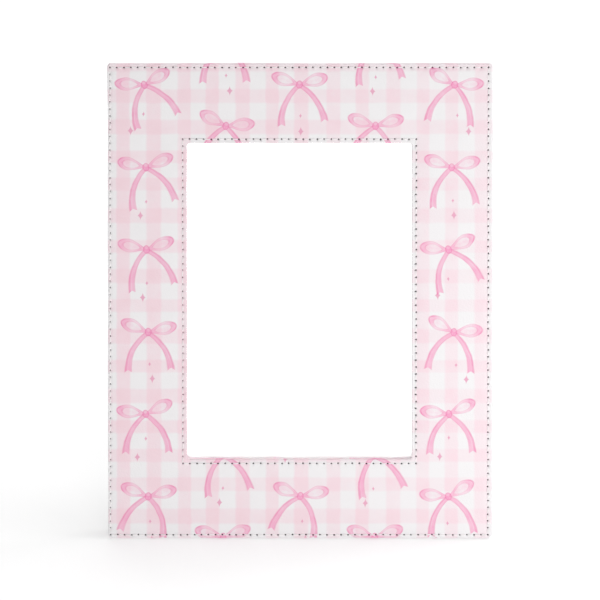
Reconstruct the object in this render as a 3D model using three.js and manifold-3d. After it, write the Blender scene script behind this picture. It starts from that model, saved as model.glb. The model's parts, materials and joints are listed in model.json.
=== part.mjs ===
// A stitched leatherette picture frame for a 5 x 7 in print, standing on its easel leg.
// Millimetres and degrees. The frame's own axes: X to the viewer's right, Y from the front face to the back,
// Z up along the frame from its bottom edge. The whole frame then leans back on the easel.

import * as THREE from "three";
import { mergeVertices } from "three/addons/utils/BufferGeometryUtils.js";
import Module from "manifold-3d";

const wasm = await Module();
wasm.setup();

// Print and face
const PRINT_WIDTH = 127;
const PRINT_HEIGHT = 177.8;
const PRINT_LAP = 6.35; // the window's edge covers this much of the print on each side
const BORDER_WIDTH = 41.275; // window edge to outside edge, the same all round
const CORNER_RADIUS = 2;
const WINDOW_RADIUS = 1.5;

// Wrapped front panel
const COVER_THICKNESS = 1;
const STIFFENER_THICKNESS = 2;
const EDGE_ROUND = 1.2;
const OUTER_TURN_IN = 13; // folded round to the back, measured from the outside edge
const WINDOW_TURN_IN = 5.5; // folded round to the back, measured from the window's edge

// Stitching
const OUTER_SEAM_INSET = 1.7; // stitch row to the outside edge
const WINDOW_SEAM_INSET = 2.2; // stitch row to the window's edge
const STITCH_PITCH = 3.6;
const THREAD_RADIUS = 0.3;
const THREAD_RISE = 0.3; // from the needle hole up to the crown of a stitch
const GROOVE_WIDTH = 1;
const GROOVE_DEPTH = 0.6;

// Rabbet rails and what they hold
const RAIL_SETBACK = 3; // rails stand back from the panel's edge
const GLASS_THICKNESS = 2;
const INSERT_THICKNESS = 0.3;
const CARD_THICKNESS = 1.5;
const BACK_THICKNESS = 2.5;
const LINING_THICKNESS = 0.5;

// Turn buttons
const BUTTON_SPACING = 100; // up and down, between the two on each side
const BUTTON_PIVOT_INSET = 6; // pivot to the rail's inner edge
const BUTTON_REACH = 12; // pivot to the middle of the tip
const BUTTON_HEEL_RADIUS = 4.5;
const BUTTON_TIP_RADIUS = 2.5;
const BUTTON_THICKNESS = 0.8;
const SCREW_RADIUS = 1.2;
const SCREW_HEAD_RADIUS = 2.8;
const SCREW_HEAD_HEIGHT = 1.4;
const SCREW_DEPTH = 5.5; // of the shank below the button
const SCREW_SLOT_WIDTH = 0.7;
const SCREW_SLOT_DEPTH = 0.6;

// Easel
const LEAN = 12; // the frame, back from upright
const OPENING = 23; // the leg, out from the back board
const HINGE_RISE = 133; // the pin, above the back board's lower edge
const LEG_THICKNESS = 2.5;
const LEG_TOP_WIDTH = 36;
const LEG_FOOT_WIDTH = 58;
const LEG_CORNER_RADIUS = 5;
const FOOT_ARCH_WIDTH = 30;
const FOOT_ARCH_RISE = 5;

// Easel hinge
const HINGE_WIDTH = 30;
const KNUCKLES = 5;
const PIN_RADIUS = 1.5;
const PIN_HEAD_RADIUS = 2.1;
const PIN_HEAD_LENGTH = 0.8;
const LEAF_THICKNESS = 0.8;
const BOARD_LEAF_LENGTH = 17;
const LEG_LEAF_LENGTH = 22;
const LEAF_CORNER_RADIUS = 4;
const RIVET_RADIUS = 1;
const RIVET_HEAD_RADIUS = 2.2;
const RIVET_HEAD_HEIGHT = 0.9;
const RIVET_GRIP = 1.6; // shank length in the board or the leg
const RIVET_SPACING = 16;
const RIVET_END_INSET = 6; // rivet to the leaf's free end

// Stay ribbon
const RIBBON_WIDTH = 10;
const RIBBON_THICKNESS = 0.4;
const RIBBON_TAIL = 14; // glued flat at each end
const RIBBON_DROP = 106; // below the hinge

// Clearances
const SEAT_GAP = 0.3; // between pieces that lie on each other
const DROP_IN_GAP = 0.4; // round what drops into the rabbet
const MITRE_GAP = 0.3;
const THREAD_GAP = 0.15; // under the thread where it dips
const PIN_GAP = 0.2;
const KNUCKLE_GAP = 0.4;
const OVERCUT = 1; // a cutting solid runs this far past the face that it cuts

// Facets
const CORNER_STEPS = 3;
const EDGE_STEPS = 3;
const ROUND_STEPS = 16;
const DOME_STEPS = 4;
const THREAD_SIDES = 3;
const MERGE_DISTANCE = 1e-4; // corners this close are one corner

const WINDOW_WIDTH = PRINT_WIDTH - 2 * PRINT_LAP;
const WINDOW_HEIGHT = PRINT_HEIGHT - 2 * PRINT_LAP;
const FRAME_WIDTH = WINDOW_WIDTH + 2 * BORDER_WIDTH;
const FRAME_HEIGHT = WINDOW_HEIGHT + 2 * BORDER_WIDTH;
const MIDDLE = FRAME_HEIGHT / 2;

// Depths behind the front face, layer by layer
const STIFFENER_FRONT = COVER_THICKNESS + SEAT_GAP;
const PANEL_BACK = STIFFENER_FRONT + STIFFENER_THICKNESS + SEAT_GAP + COVER_THICKNESS;
const GLASS_FRONT = PANEL_BACK + SEAT_GAP;
const INSERT_FRONT = GLASS_FRONT + GLASS_THICKNESS + SEAT_GAP;
const CARD_FRONT = INSERT_FRONT + INSERT_THICKNESS + SEAT_GAP;
const BACK_FRONT = CARD_FRONT + CARD_THICKNESS + SEAT_GAP;
const RAIL_BACK = BACK_FRONT + BACK_THICKNESS;
const LINING_FRONT = RAIL_BACK + SEAT_GAP;
const LINING_BACK = LINING_FRONT + LINING_THICKNESS;
const BUTTON_FRONT = LINING_BACK + SEAT_GAP;
const BARREL_RADIUS = PIN_RADIUS + PIN_GAP + LEAF_THICKNESS;
const HINGE_DEPTH = LINING_BACK + SEAT_GAP + BARREL_RADIUS;

// Heights of the hinge pin's axis, from the frame's middle and from its bottom edge
const HINGE_UP = HINGE_RISE - PRINT_HEIGHT / 2;
const HINGE_HEIGHT = MIDDLE + HINGE_UP;

const WINDOW_SEAM = BORDER_WIDTH - WINDOW_SEAM_INSET; // from the outside edge, as the outer row is
const RAIL_INNER_INSET = (FRAME_WIDTH - PRINT_WIDTH) / 2 - DROP_IN_GAP;
const BUTTON_ACROSS = PRINT_WIDTH / 2 + DROP_IN_GAP + BUTTON_PIVOT_INSET;

// From the hinge pin's axis, with the leg folded: the leg lies under its own leaf
const LEG_BACK = BARREL_RADIUS - LEAF_THICKNESS - SEAT_GAP;
const LEG_FRONT = LEG_BACK - LEG_THICKNESS;
const LEG_TOP = -(BARREL_RADIUS + SEAT_GAP);

const LEAN_ANGLE = THREE.MathUtils.degToRad(LEAN);
const OPENING_ANGLE = THREE.MathUtils.degToRad(OPENING);

const finish = (color, roughness, metalness = 0) =>
  new THREE.MeshStandardMaterial({ color, roughness, metalness });
const LEATHERETTE = finish(0xf6e3e7, 0.55);
const THREAD = finish(0xf4f2ef, 0.8);
const CHIPBOARD = finish(0xa08c74, 0.9);
const BLACK_PAPERED_MDF = finish(0x1d1c1d, 0.7);
const VELOUR = finish(0x121214, 0.95);
const GLASS = finish(0xf2f8f6, 0.03);
GLASS.transparent = true;
GLASS.opacity = 0.15;
const WHITE_PAPER = finish(0xfbfbfa, 0.85);
const NICKELLED_STEEL = finish(0xb9b9b4, 0.35, 1);
const SATIN_RIBBON = finish(0x17171a, 0.45);

// A closed mesh as a solid for cutting and joining.
function solidOf(geometry) {
  const bare = geometry.index ? geometry.toNonIndexed() : geometry.clone();
  bare.deleteAttribute("normal");
  bare.deleteAttribute("uv");
  const merged = mergeVertices(bare, MERGE_DISTANCE);
  const vertProperties = merged.getAttribute("position").array;
  const triVerts = new Uint32Array(merged.index.array);
  return new wasm.Manifold(new wasm.Mesh({ numProp: 3, vertProperties, triVerts }));
}

function geometryOf(solid) {
  const { vertProperties, triVerts } = solid.getMesh();
  const geometry = new THREE.BufferGeometry();
  geometry.setAttribute("position", new THREE.BufferAttribute(vertProperties, 3));
  geometry.setIndex(new THREE.BufferAttribute(triVerts, 1));
  geometry.computeVertexNormals();
  return geometry;
}

function cut(geometry, ...cutters) {
  const left = cutters.reduce((solid, cutter) => solid.subtract(solidOf(cutter)), solidOf(geometry));
  return geometryOf(left);
}

function piece(name, geometry, material) {
  const mesh = new THREE.Mesh(geometry, material);
  mesh.name = name;
  return mesh;
}

// Draws a rectangle about the origin on a path, with round corners where it has a radius.
function traceRectangle(path, width, height, radius = 0) {
  const across = width / 2 - radius;
  const up = height / 2 - radius;
  if (radius === 0) {
    path.moveTo(-across, -up).lineTo(across, -up).lineTo(across, up).lineTo(-across, up).closePath();
    return path;
  }
  const quarter = Math.PI / 2;
  path.absarc(across, -up, radius, -quarter, 0);
  path.absarc(across, up, radius, 0, quarter);
  path.absarc(-across, up, radius, quarter, 2 * quarter);
  path.absarc(-across, -up, radius, 2 * quarter, 3 * quarter);
  return path.closePath();
}

// A flat ring that follows the frame, between two insets from its outside edge.
function ring(outerInset, innerInset, outerRadius = 0, innerRadius = 0) {
  const shape = new THREE.Shape();
  traceRectangle(shape, FRAME_WIDTH - 2 * outerInset, FRAME_HEIGHT - 2 * outerInset, outerRadius);
  const hole = new THREE.Path();
  traceRectangle(hole, FRAME_WIDTH - 2 * innerInset, FRAME_HEIGHT - 2 * innerInset, innerRadius);
  shape.holes.push(hole);
  return shape;
}

// A shape drawn in the frame's face, as a layer that starts at a depth and may have rounded edges.
function layer(shape, front, thickness, edge = 0, steps = CORNER_STEPS) {
  const geometry = new THREE.ExtrudeGeometry(shape, {
    depth: thickness - 2 * edge,
    curveSegments: steps,
    bevelEnabled: edge > 0,
    bevelThickness: edge,
    bevelSize: edge,
    bevelOffset: -edge,
    bevelSegments: EDGE_STEPS,
  });
  return geometry.rotateX(Math.PI / 2).translate(0, front + thickness - edge, 0);
}

// A side view, drawn as depth and height, carried across the frame's width.
function acrossFrame(sideView, width) {
  const curveSegments = ROUND_STEPS / 2;
  const geometry = new THREE.ExtrudeGeometry(sideView, { depth: width, curveSegments, bevelEnabled: false });
  const depthUpAcross = new THREE.Matrix4().makeBasis(
    new THREE.Vector3(0, 1, 0),
    new THREE.Vector3(0, 0, 1),
    new THREE.Vector3(1, 0, 0),
  );
  return geometry.applyMatrix4(depthUpAcross).translate(-width / 2, 0, 0);
}

// A round hole's cutter along Y, from one depth to another.
function drill(radius, front, back, x, z) {
  const length = back - front;
  return new THREE.CylinderGeometry(radius, radius, length, ROUND_STEPS).translate(x, front + length / 2, z);
}

// Turned fastener along Y: a shank from below zero, and a domed head that sits on zero.
function domedFastener(shankRadius, shankLength, headRadius, headHeight) {
  const profile = [new THREE.Vector2(0, -shankLength), new THREE.Vector2(shankRadius, -shankLength)];
  profile.push(new THREE.Vector2(shankRadius, 0), new THREE.Vector2(headRadius, 0));
  for (let step = 1; step < DOME_STEPS; step += 1) {
    const turn = (step / DOME_STEPS) * (Math.PI / 2);
    profile.push(new THREE.Vector2(headRadius * Math.cos(turn), headHeight * Math.sin(turn)));
  }
  profile.push(new THREE.Vector2(0, headHeight));
  return new THREE.LatheGeometry(profile, ROUND_STEPS);
}

// The printed sheet, folded round the stiffener at the outside and at the window.
// The thread of each seam draws it down into a narrow groove.
function frontCover() {
  const wrapped = layer(ring(0, BORDER_WIDTH, CORNER_RADIUS, WINDOW_RADIUS), 0, PANEL_BACK, EDGE_ROUND);
  const inside = ring(COVER_THICKNESS, BORDER_WIDTH - COVER_THICKNESS);
  const stiffenerRoom = layer(inside, COVER_THICKNESS, PANEL_BACK - 2 * COVER_THICKNESS);
  const betweenTurnIns = ring(OUTER_TURN_IN, BORDER_WIDTH - WINDOW_TURN_IN);
  const openFrom = PANEL_BACK - COVER_THICKNESS - SEAT_GAP;
  const openBack = layer(betweenTurnIns, openFrom, PANEL_BACK - openFrom + OVERCUT);
  const grooves = [OUTER_SEAM_INSET, WINDOW_SEAM].map((inset) =>
    layer(ring(inset - GROOVE_WIDTH / 2, inset + GROOVE_WIDTH / 2), -OVERCUT, GROOVE_DEPTH + OVERCUT),
  );
  return cut(wrapped, stiffenerRoom, openBack, ...grooves);
}

function stiffenerBoard() {
  const inset = COVER_THICKNESS + SEAT_GAP;
  return layer(ring(inset, BORDER_WIDTH - inset), STIFFENER_FRONT, STIFFENER_THICKNESS);
}

// One unbroken thread round the frame: it dips at each needle hole and crowns between two holes.
// Every corner has a hole.
function stitching(inset) {
  const across = FRAME_WIDTH / 2 - inset;
  const up = FRAME_HEIGHT / 2 - inset;
  const corners = [
    [-across, -up],
    [across, -up],
    [across, up],
    [-across, up],
  ];
  const holeDepth = GROOVE_DEPTH - THREAD_GAP - THREAD_RADIUS;
  const positions = [];
  corners.forEach(([x, z], side) => {
    const [nextX, nextZ] = corners[(side + 1) % corners.length];
    const length = Math.hypot(nextX - x, nextZ - z);
    const stitches = Math.round(length / STITCH_PITCH);
    const alongX = (nextX - x) / length;
    const alongZ = (nextZ - z) / length;
    for (let half = 0; half < 2 * stitches; half += 1) {
      const reach = (half / (2 * stitches)) * length;
      const depth = half % 2 ? holeDepth - THREAD_RISE : holeDepth;
      // Outwards from the frame's middle. A corner's section lies on the mitre, so it points both ways.
      const outX = half ? alongZ : Math.sign(x);
      const outZ = half ? -alongX : Math.sign(z);
      for (let point = 0; point < THREAD_SIDES; point += 1) {
        const turn = (point / THREAD_SIDES) * 2 * Math.PI + Math.PI / 2;
        const out = THREAD_RADIUS * Math.cos(turn);
        const back = THREAD_RADIUS * Math.sin(turn);
        positions.push(x + alongX * reach + outX * out, depth + back, z + alongZ * reach + outZ * out);
      }
    }
  });
  const rings = positions.length / 3 / THREAD_SIDES;
  const faces = [];
  for (let section = 0; section < rings; section += 1) {
    const next = (section + 1) % rings;
    for (let point = 0; point < THREAD_SIDES; point += 1) {
      const beside = (point + 1) % THREAD_SIDES;
      const [a, b] = [section * THREAD_SIDES + point, section * THREAD_SIDES + beside];
      const [c, d] = [next * THREAD_SIDES + beside, next * THREAD_SIDES + point];
      faces.push(a, b, d, b, c, d);
    }
  }
  const geometry = new THREE.BufferGeometry();
  geometry.setAttribute("position", new THREE.Float32BufferAttribute(positions, 3));
  geometry.setIndex(faces);
  geometry.computeVertexNormals();
  return geometry;
}

// Where the turn buttons pivot on the side rails.
const BUTTON_PLACES = ["upper", "lower"].flatMap((height) =>
  ["left", "right"].map((side) => ({
    name: `${height}_${side}`,
    side,
    x: side === "left" ? -BUTTON_ACROSS : BUTTON_ACROSS,
    z: height === "upper" ? BUTTON_SPACING / 2 : -BUTTON_SPACING / 2,
  })),
);

const screwHoles = (front, back, places = BUTTON_PLACES) =>
  places.map(({ x, z }) => drill(SCREW_RADIUS + SEAT_GAP, front, back, x, z));

// One side of the rabbet, mitred at both ends, from its half lengths outside and inside and
// how far these lie from the frame's middle.
function rail(turn, outerHalf, innerHalf, outerReach, innerReach, holes) {
  const relief = MITRE_GAP / Math.SQRT2;
  const shape = new THREE.Shape();
  shape.moveTo(-outerHalf + relief, outerReach);
  shape.lineTo(-innerHalf + relief, innerReach);
  shape.lineTo(innerHalf - relief, innerReach);
  shape.lineTo(outerHalf - relief, outerReach);
  const straight = layer(shape, GLASS_FRONT, RAIL_BACK - GLASS_FRONT).rotateY(turn);
  return holes.length ? cut(straight, ...holes) : straight;
}

function rails() {
  const across = { outer: FRAME_WIDTH / 2 - RAIL_SETBACK, inner: FRAME_WIDTH / 2 - RAIL_INNER_INSET };
  const up = { outer: FRAME_HEIGHT / 2 - RAIL_SETBACK, inner: FRAME_HEIGHT / 2 - RAIL_INNER_INSET };
  const holeFront = RAIL_BACK - SCREW_DEPTH - SEAT_GAP;
  const sides = { top: 0, left: -Math.PI / 2, bottom: Math.PI, right: Math.PI / 2 };
  return Object.entries(sides).map(([side, turn]) => {
    const upright = side === "left" || side === "right";
    const [along, out] = upright ? [up, across] : [across, up];
    const onThisSide = BUTTON_PLACES.filter((place) => place.side === side);
    const holes = screwHoles(holeFront, RAIL_BACK + OVERCUT, onThisSide);
    const geometry = rail(turn, along.outer, along.inner, out.outer, out.inner, holes);
    return piece(`rail_${side}`, geometry, BLACK_PAPERED_MDF);
  });
}

function frameLining() {
  const sheet = layer(ring(RAIL_SETBACK + SEAT_GAP, RAIL_INNER_INSET), LINING_FRONT, LINING_THICKNESS);
  return cut(sheet, ...screwHoles(LINING_FRONT - OVERCUT, LINING_BACK + OVERCUT));
}

// What drops into the rabbet has the print's own size.
function printSized(front, thickness) {
  return layer(traceRectangle(new THREE.Shape(), PRINT_WIDTH, PRINT_HEIGHT), front, thickness);
}

// Rivets that hold the board leaf, through the lining into the back board.
const BOARD_RIVET_UP = HINGE_UP + BOARD_LEAF_LENGTH - RIVET_END_INSET;
const RIVET_PLACES = [
  ["left", -RIVET_SPACING / 2],
  ["right", RIVET_SPACING / 2],
];

const boardRivetHoles = (front, back) =>
  RIVET_PLACES.map(([, x]) => drill(RIVET_RADIUS + SEAT_GAP, front, back, x, BOARD_RIVET_UP));

function backBoard() {
  const holeFront = RAIL_BACK - RIVET_GRIP - SEAT_GAP;
  return cut(printSized(BACK_FRONT, BACK_THICKNESS), ...boardRivetHoles(holeFront, RAIL_BACK + OVERCUT));
}

function boardLining() {
  const sheet = printSized(LINING_FRONT, LINING_THICKNESS);
  return cut(sheet, ...boardRivetHoles(LINING_FRONT - OVERCUT, LINING_BACK + OVERCUT));
}

// Teardrop tab: a round heel on the pivot, and a smaller round tip that laps over the back board.
function turnButton(side) {
  const shoulder = Math.acos((BUTTON_HEEL_RADIUS - BUTTON_TIP_RADIUS) / BUTTON_REACH);
  const shape = new THREE.Shape();
  shape.absarc(BUTTON_REACH, 0, BUTTON_TIP_RADIUS, -shoulder, shoulder);
  shape.absarc(0, 0, BUTTON_HEEL_RADIUS, shoulder, 2 * Math.PI - shoulder);
  shape.closePath();
  shape.holes.push(new THREE.Path().absarc(0, 0, SCREW_RADIUS + SEAT_GAP, 0, 2 * Math.PI, true));
  const tab = layer(shape, 0, BUTTON_THICKNESS, 0, ROUND_STEPS / 2);
  return side === "left" ? tab : tab.rotateY(Math.PI);
}

function slottedScrew() {
  const grip = BUTTON_THICKNESS + 2 * SEAT_GAP + LINING_THICKNESS + SEAT_GAP;
  const screw = domedFastener(SCREW_RADIUS, grip + SCREW_DEPTH, SCREW_HEAD_RADIUS, SCREW_HEAD_HEIGHT);
  const slotHeight = SCREW_SLOT_DEPTH + OVERCUT;
  const slot = new THREE.BoxGeometry(2 * (SCREW_HEAD_RADIUS + OVERCUT), slotHeight, SCREW_SLOT_WIDTH);
  return cut(screw, slot.translate(0, SCREW_HEAD_HEIGHT - SCREW_SLOT_DEPTH + slotHeight / 2, 0));
}

// A leaf seen from the side: a strip along the board that rolls into the barrel round the pin's axis.
function rolledLeaf(length, ownKnuckles) {
  const tangent = LEAF_THICKNESS - BARREL_RADIUS;
  const meeting = Math.sqrt(BARREL_RADIUS ** 2 - tangent ** 2);
  const sideView = new THREE.Shape();
  sideView.moveTo(-BARREL_RADIUS, 0);
  sideView.absarc(0, 0, BARREL_RADIUS, Math.PI, Math.atan2(meeting, tangent));
  sideView.lineTo(tangent, length).lineTo(-BARREL_RADIUS, length).closePath();
  sideView.holes.push(new THREE.Path().absarc(0, 0, PIN_RADIUS + PIN_GAP, 0, 2 * Math.PI, true));
  const strip = acrossFrame(sideView, HINGE_WIDTH);

  const pitch = HINGE_WIDTH / KNUCKLES;
  const room = 2 * (BARREL_RADIUS + KNUCKLE_GAP);
  const otherKnuckles = [];
  for (let knuckle = 0; knuckle < KNUCKLES; knuckle += 1) {
    if (knuckle % 2 === ownKnuckles) continue;
    const notch = new THREE.BoxGeometry(pitch + KNUCKLE_GAP, room, room);
    otherKnuckles.push(notch.translate((knuckle + 0.5) * pitch - HINGE_WIDTH / 2, 0, 0));
  }
  const below = BARREL_RADIUS + OVERCUT;
  const rivetHoles = RIVET_PLACES.map(([, x]) =>
    drill(RIVET_RADIUS + SEAT_GAP, -below, below, x, length - RIVET_END_INSET),
  );

  const outline = new THREE.Shape();
  const bottom = -below - LEAF_CORNER_RADIUS;
  traceRectangle(outline, HINGE_WIDTH, length - bottom, LEAF_CORNER_RADIUS);
  const rounded = layer(outline, -below, 2 * below).translate(0, 0, (length + bottom) / 2);
  const trimmed = geometryOf(solidOf(strip).intersect(solidOf(rounded)));
  return cut(trimmed, ...otherKnuckles, ...rivetHoles);
}

function hingePin() {
  const half = HINGE_WIDTH / 2 + SEAT_GAP;
  const profile = [
    new THREE.Vector2(0, -half - PIN_HEAD_LENGTH),
    new THREE.Vector2(PIN_HEAD_RADIUS, -half - PIN_HEAD_LENGTH / 2),
    new THREE.Vector2(PIN_HEAD_RADIUS, -half),
    new THREE.Vector2(PIN_RADIUS, -half),
    new THREE.Vector2(PIN_RADIUS, half),
    new THREE.Vector2(PIN_HEAD_RADIUS, half),
    new THREE.Vector2(PIN_HEAD_RADIUS, half + PIN_HEAD_LENGTH / 2),
    new THREE.Vector2(0, half + PIN_HEAD_LENGTH),
  ];
  return new THREE.LatheGeometry(profile, ROUND_STEPS).rotateZ(Math.PI / 2);
}

const LEG_RIVET_UP = RIVET_END_INSET - LEG_LEAF_LENGTH;

// The leg, drawn folded and hanging from the pin's axis: it widens to two feet, cut flat to the table.
function easelLeg(pinHeight, tilt) {
  const drop = pinHeight / Math.cos(tilt) + LEG_THICKNESS;
  const [top, foot] = [LEG_TOP_WIDTH / 2, LEG_FOOT_WIDTH / 2];
  const slope = Math.atan2(foot - top, drop + LEG_TOP);
  const shape = new THREE.Shape();
  shape.moveTo(-foot, -drop);
  shape.lineTo(foot, -drop);
  const corner = top - LEG_CORNER_RADIUS;
  shape.absarc(corner, LEG_TOP - LEG_CORNER_RADIUS, LEG_CORNER_RADIUS, slope, Math.PI / 2);
  shape.absarc(-corner, LEG_TOP - LEG_CORNER_RADIUS, LEG_CORNER_RADIUS, Math.PI / 2, Math.PI - slope);
  shape.closePath();
  const plate = layer(shape, LEG_FRONT, LEG_THICKNESS);

  const size = 2 * FRAME_HEIGHT;
  const table = new THREE.BoxGeometry(size, size, size).translate(0, 0, -pinHeight - size / 2).rotateX(-tilt);
  const archRadius = (FOOT_ARCH_WIDTH ** 2 / 4 + FOOT_ARCH_RISE ** 2) / (2 * FOOT_ARCH_RISE);
  const archMiddle = -pinHeight / Math.cos(tilt) + FOOT_ARCH_RISE - archRadius;
  const archSpread = Math.PI / 3;
  const archShape = new THREE.Shape();
  archShape.absarc(0, archMiddle, archRadius, Math.PI / 2 - archSpread, Math.PI / 2 + archSpread);
  const arch = layer(archShape, LEG_FRONT - OVERCUT, LEG_THICKNESS + 2 * OVERCUT, 0, ROUND_STEPS / 2);
  const rivetHoles = RIVET_PLACES.map(([, x]) =>
    drill(RIVET_RADIUS + SEAT_GAP, LEG_BACK - RIVET_GRIP - SEAT_GAP, LEG_BACK + OVERCUT, x, LEG_RIVET_UP),
  );
  return cut(plate, table, arch, ...rivetHoles);
}

// A strip of even thickness along a side-view line, with mitred bends.
function stripAlong(line, thickness) {
  const sides = [[], []];
  line.forEach((point, index) => {
    const before = line[Math.max(index - 1, 0)];
    const after = line[Math.min(index + 1, line.length - 1)];
    const ways = [
      [before, point],
      [point, after],
    ]
      .filter(([from, to]) => from !== to)
      .map(([from, to]) => to.clone().sub(from).normalize());
    const mean = ways.reduce((sum, way) => sum.clone().add(way)).normalize();
    const normal = new THREE.Vector2(-mean.y, mean.x).multiplyScalar(thickness / 2 / mean.dot(ways[0]));
    sides[0].push(point.clone().add(normal));
    sides[1].unshift(point.clone().sub(normal));
  });
  return new THREE.Shape([...sides[0], ...sides[1]]);
}

// The ribbon that stops the leg: glued flat to the board's lining and to the leg, and taut between them.
function stayRibbon() {
  const off = SEAT_GAP + RIBBON_THICKNESS / 2;
  const onBoard = (z) => new THREE.Vector2(LINING_BACK + off - HINGE_DEPTH, z);
  const onLeg = (z) => new THREE.Vector2(LEG_FRONT - off, z).rotateAround(new THREE.Vector2(), OPENING_ANGLE);
  const line = [
    onBoard(RIBBON_TAIL - RIBBON_DROP),
    onBoard(-RIBBON_DROP),
    onLeg(-RIBBON_DROP),
    onLeg(RIBBON_TAIL - RIBBON_DROP),
  ];
  return acrossFrame(stripAlong(line, RIBBON_THICKNESS), RIBBON_WIDTH);
}

const standing = new THREE.Group();
const leaning = new THREE.Group();
leaning.rotation.x = -LEAN_ANGLE;
standing.add(leaning);

// Everything that is drawn about the frame's middle
const face = new THREE.Group();
face.position.z = MIDDLE;
leaning.add(face);
face.add(piece("front_cover", frontCover(), LEATHERETTE));
face.add(piece("stiffener_board", stiffenerBoard(), CHIPBOARD));
face.add(piece("outer_stitching", stitching(OUTER_SEAM_INSET), THREAD));
face.add(piece("inner_stitching", stitching(WINDOW_SEAM), THREAD));
face.add(...rails());
face.add(piece("frame_lining", frameLining(), VELOUR));
face.add(piece("glass_pane", printSized(GLASS_FRONT, GLASS_THICKNESS), GLASS));
face.add(piece("photo_insert", printSized(INSERT_FRONT, INSERT_THICKNESS), WHITE_PAPER));
face.add(piece("filler_card", printSized(CARD_FRONT, CARD_THICKNESS), CHIPBOARD));
face.add(piece("back_board", backBoard(), BLACK_PAPERED_MDF));
face.add(piece("board_lining", boardLining(), VELOUR));

for (const { name, side, x, z } of BUTTON_PLACES) {
  const button = piece(`turn_button_${name}`, turnButton(side), NICKELLED_STEEL);
  button.position.set(x, BUTTON_FRONT, z);
  const screw = piece(`button_screw_${name}`, slottedScrew(), NICKELLED_STEEL);
  screw.position.set(x, BUTTON_FRONT + BUTTON_THICKNESS + SEAT_GAP, z);
  face.add(button, screw);
}

// Everything that is drawn about the hinge pin
const hinge = new THREE.Group();
hinge.position.set(0, HINGE_DEPTH, HINGE_HEIGHT);
leaning.add(hinge);
hinge.add(piece("hinge_leaf_board", rolledLeaf(BOARD_LEAF_LENGTH, 0), NICKELLED_STEEL));
hinge.add(piece("hinge_pin", hingePin(), NICKELLED_STEEL));
hinge.add(piece("stay_ribbon", stayRibbon(), SATIN_RIBBON));

const boardGrip = LEAF_THICKNESS + 2 * SEAT_GAP + LINING_THICKNESS + SEAT_GAP;
for (const [side, x] of RIVET_PLACES) {
  const shank = boardGrip + RIVET_GRIP;
  const rivet = domedFastener(RIVET_RADIUS, shank, RIVET_HEAD_RADIUS, RIVET_HEAD_HEIGHT);
  const held = piece(`hinge_rivet_board_${side}`, rivet, NICKELLED_STEEL);
  held.position.set(x, LEAF_THICKNESS - BARREL_RADIUS + SEAT_GAP, BOARD_LEAF_LENGTH - RIVET_END_INSET);
  hinge.add(held);
}

// The frame comes down until its lowest edge is on the table.
const lowest = new THREE.Box3().setFromObject(standing, true).min.z;
leaning.position.z = -lowest;

// The leg swings out from the pin, and is as long as it needs to be to reach the table.
const pinInFrame = new THREE.Vector3(0, HINGE_DEPTH, HINGE_HEIGHT);
const pinHeight = leaning.position.z + pinInFrame.applyAxisAngle(new THREE.Vector3(1, 0, 0), -LEAN_ANGLE).z;
const leg = new THREE.Group();
leg.rotation.x = OPENING_ANGLE;
hinge.add(leg);
leg.add(piece("easel_leg", easelLeg(pinHeight, OPENING_ANGLE - LEAN_ANGLE), VELOUR));
leg.add(piece("hinge_leaf_leg", rolledLeaf(LEG_LEAF_LENGTH, 1).rotateX(Math.PI), NICKELLED_STEEL));

const legGrip = LEAF_THICKNESS + 2 * SEAT_GAP;
for (const [side, x] of RIVET_PLACES) {
  const rivet = domedFastener(RIVET_RADIUS, legGrip + RIVET_GRIP, RIVET_HEAD_RADIUS, RIVET_HEAD_HEIGHT);
  const held = piece(`hinge_rivet_leg_${side}`, rivet, NICKELLED_STEEL);
  held.position.set(x, BARREL_RADIUS + SEAT_GAP, LEG_RIVET_UP);
  leg.add(held);
}

// The origin is on the table, under the middle of the whole frame.
const middle = new THREE.Box3().setFromObject(standing, true).getCenter(new THREE.Vector3());
leaning.position.y = -middle.y;

export default standing;
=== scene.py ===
"""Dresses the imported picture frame: a printed, stitched leatherette border that stands on an easel leg.

Sizes in the classes are millimetres on the frame's own axes: x to the viewer's right, up along the leaning
face, and depth from the front face to the back. Blender gets metres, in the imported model's own frame.
"""

from __future__ import annotations

import json
import logging
import math
import random
from collections.abc import Sequence
from dataclasses import dataclass
from enum import Enum
from typing import NamedTuple

import bmesh
import bpy
import numpy as np
from bpy.types import Material, Mesh, Node, NodeSocket, NodeTree, Object
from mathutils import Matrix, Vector

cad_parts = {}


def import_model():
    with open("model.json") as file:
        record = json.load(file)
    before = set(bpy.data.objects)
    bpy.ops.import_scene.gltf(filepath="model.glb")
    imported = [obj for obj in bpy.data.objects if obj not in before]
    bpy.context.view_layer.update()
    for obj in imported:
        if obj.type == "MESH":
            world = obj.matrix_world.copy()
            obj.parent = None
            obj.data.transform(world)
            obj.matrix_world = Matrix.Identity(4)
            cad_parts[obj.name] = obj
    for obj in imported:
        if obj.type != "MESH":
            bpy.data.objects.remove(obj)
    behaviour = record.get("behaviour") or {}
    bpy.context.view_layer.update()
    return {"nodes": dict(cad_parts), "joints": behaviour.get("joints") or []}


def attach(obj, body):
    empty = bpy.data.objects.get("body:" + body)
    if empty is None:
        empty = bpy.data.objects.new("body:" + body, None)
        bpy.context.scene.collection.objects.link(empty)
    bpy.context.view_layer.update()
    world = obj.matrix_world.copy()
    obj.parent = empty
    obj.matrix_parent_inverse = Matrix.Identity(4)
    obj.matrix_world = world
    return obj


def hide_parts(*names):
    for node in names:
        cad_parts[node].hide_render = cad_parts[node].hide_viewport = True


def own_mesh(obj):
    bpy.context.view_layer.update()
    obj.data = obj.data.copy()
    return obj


LOG = logging.getLogger("picture_frame")
MM = 0.001

# The turn buttons' pivots lie this far behind the front face, and the leg stands open by this many degrees.
PIVOT_DEPTH = 13.2
LEG_OPENING = 23.0

# Corners closer than this are one corner, and faces that turn less than this are one flat face.
MERGE_DISTANCE = 0.002
FLAT_TURN = math.radians(0.6)
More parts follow.
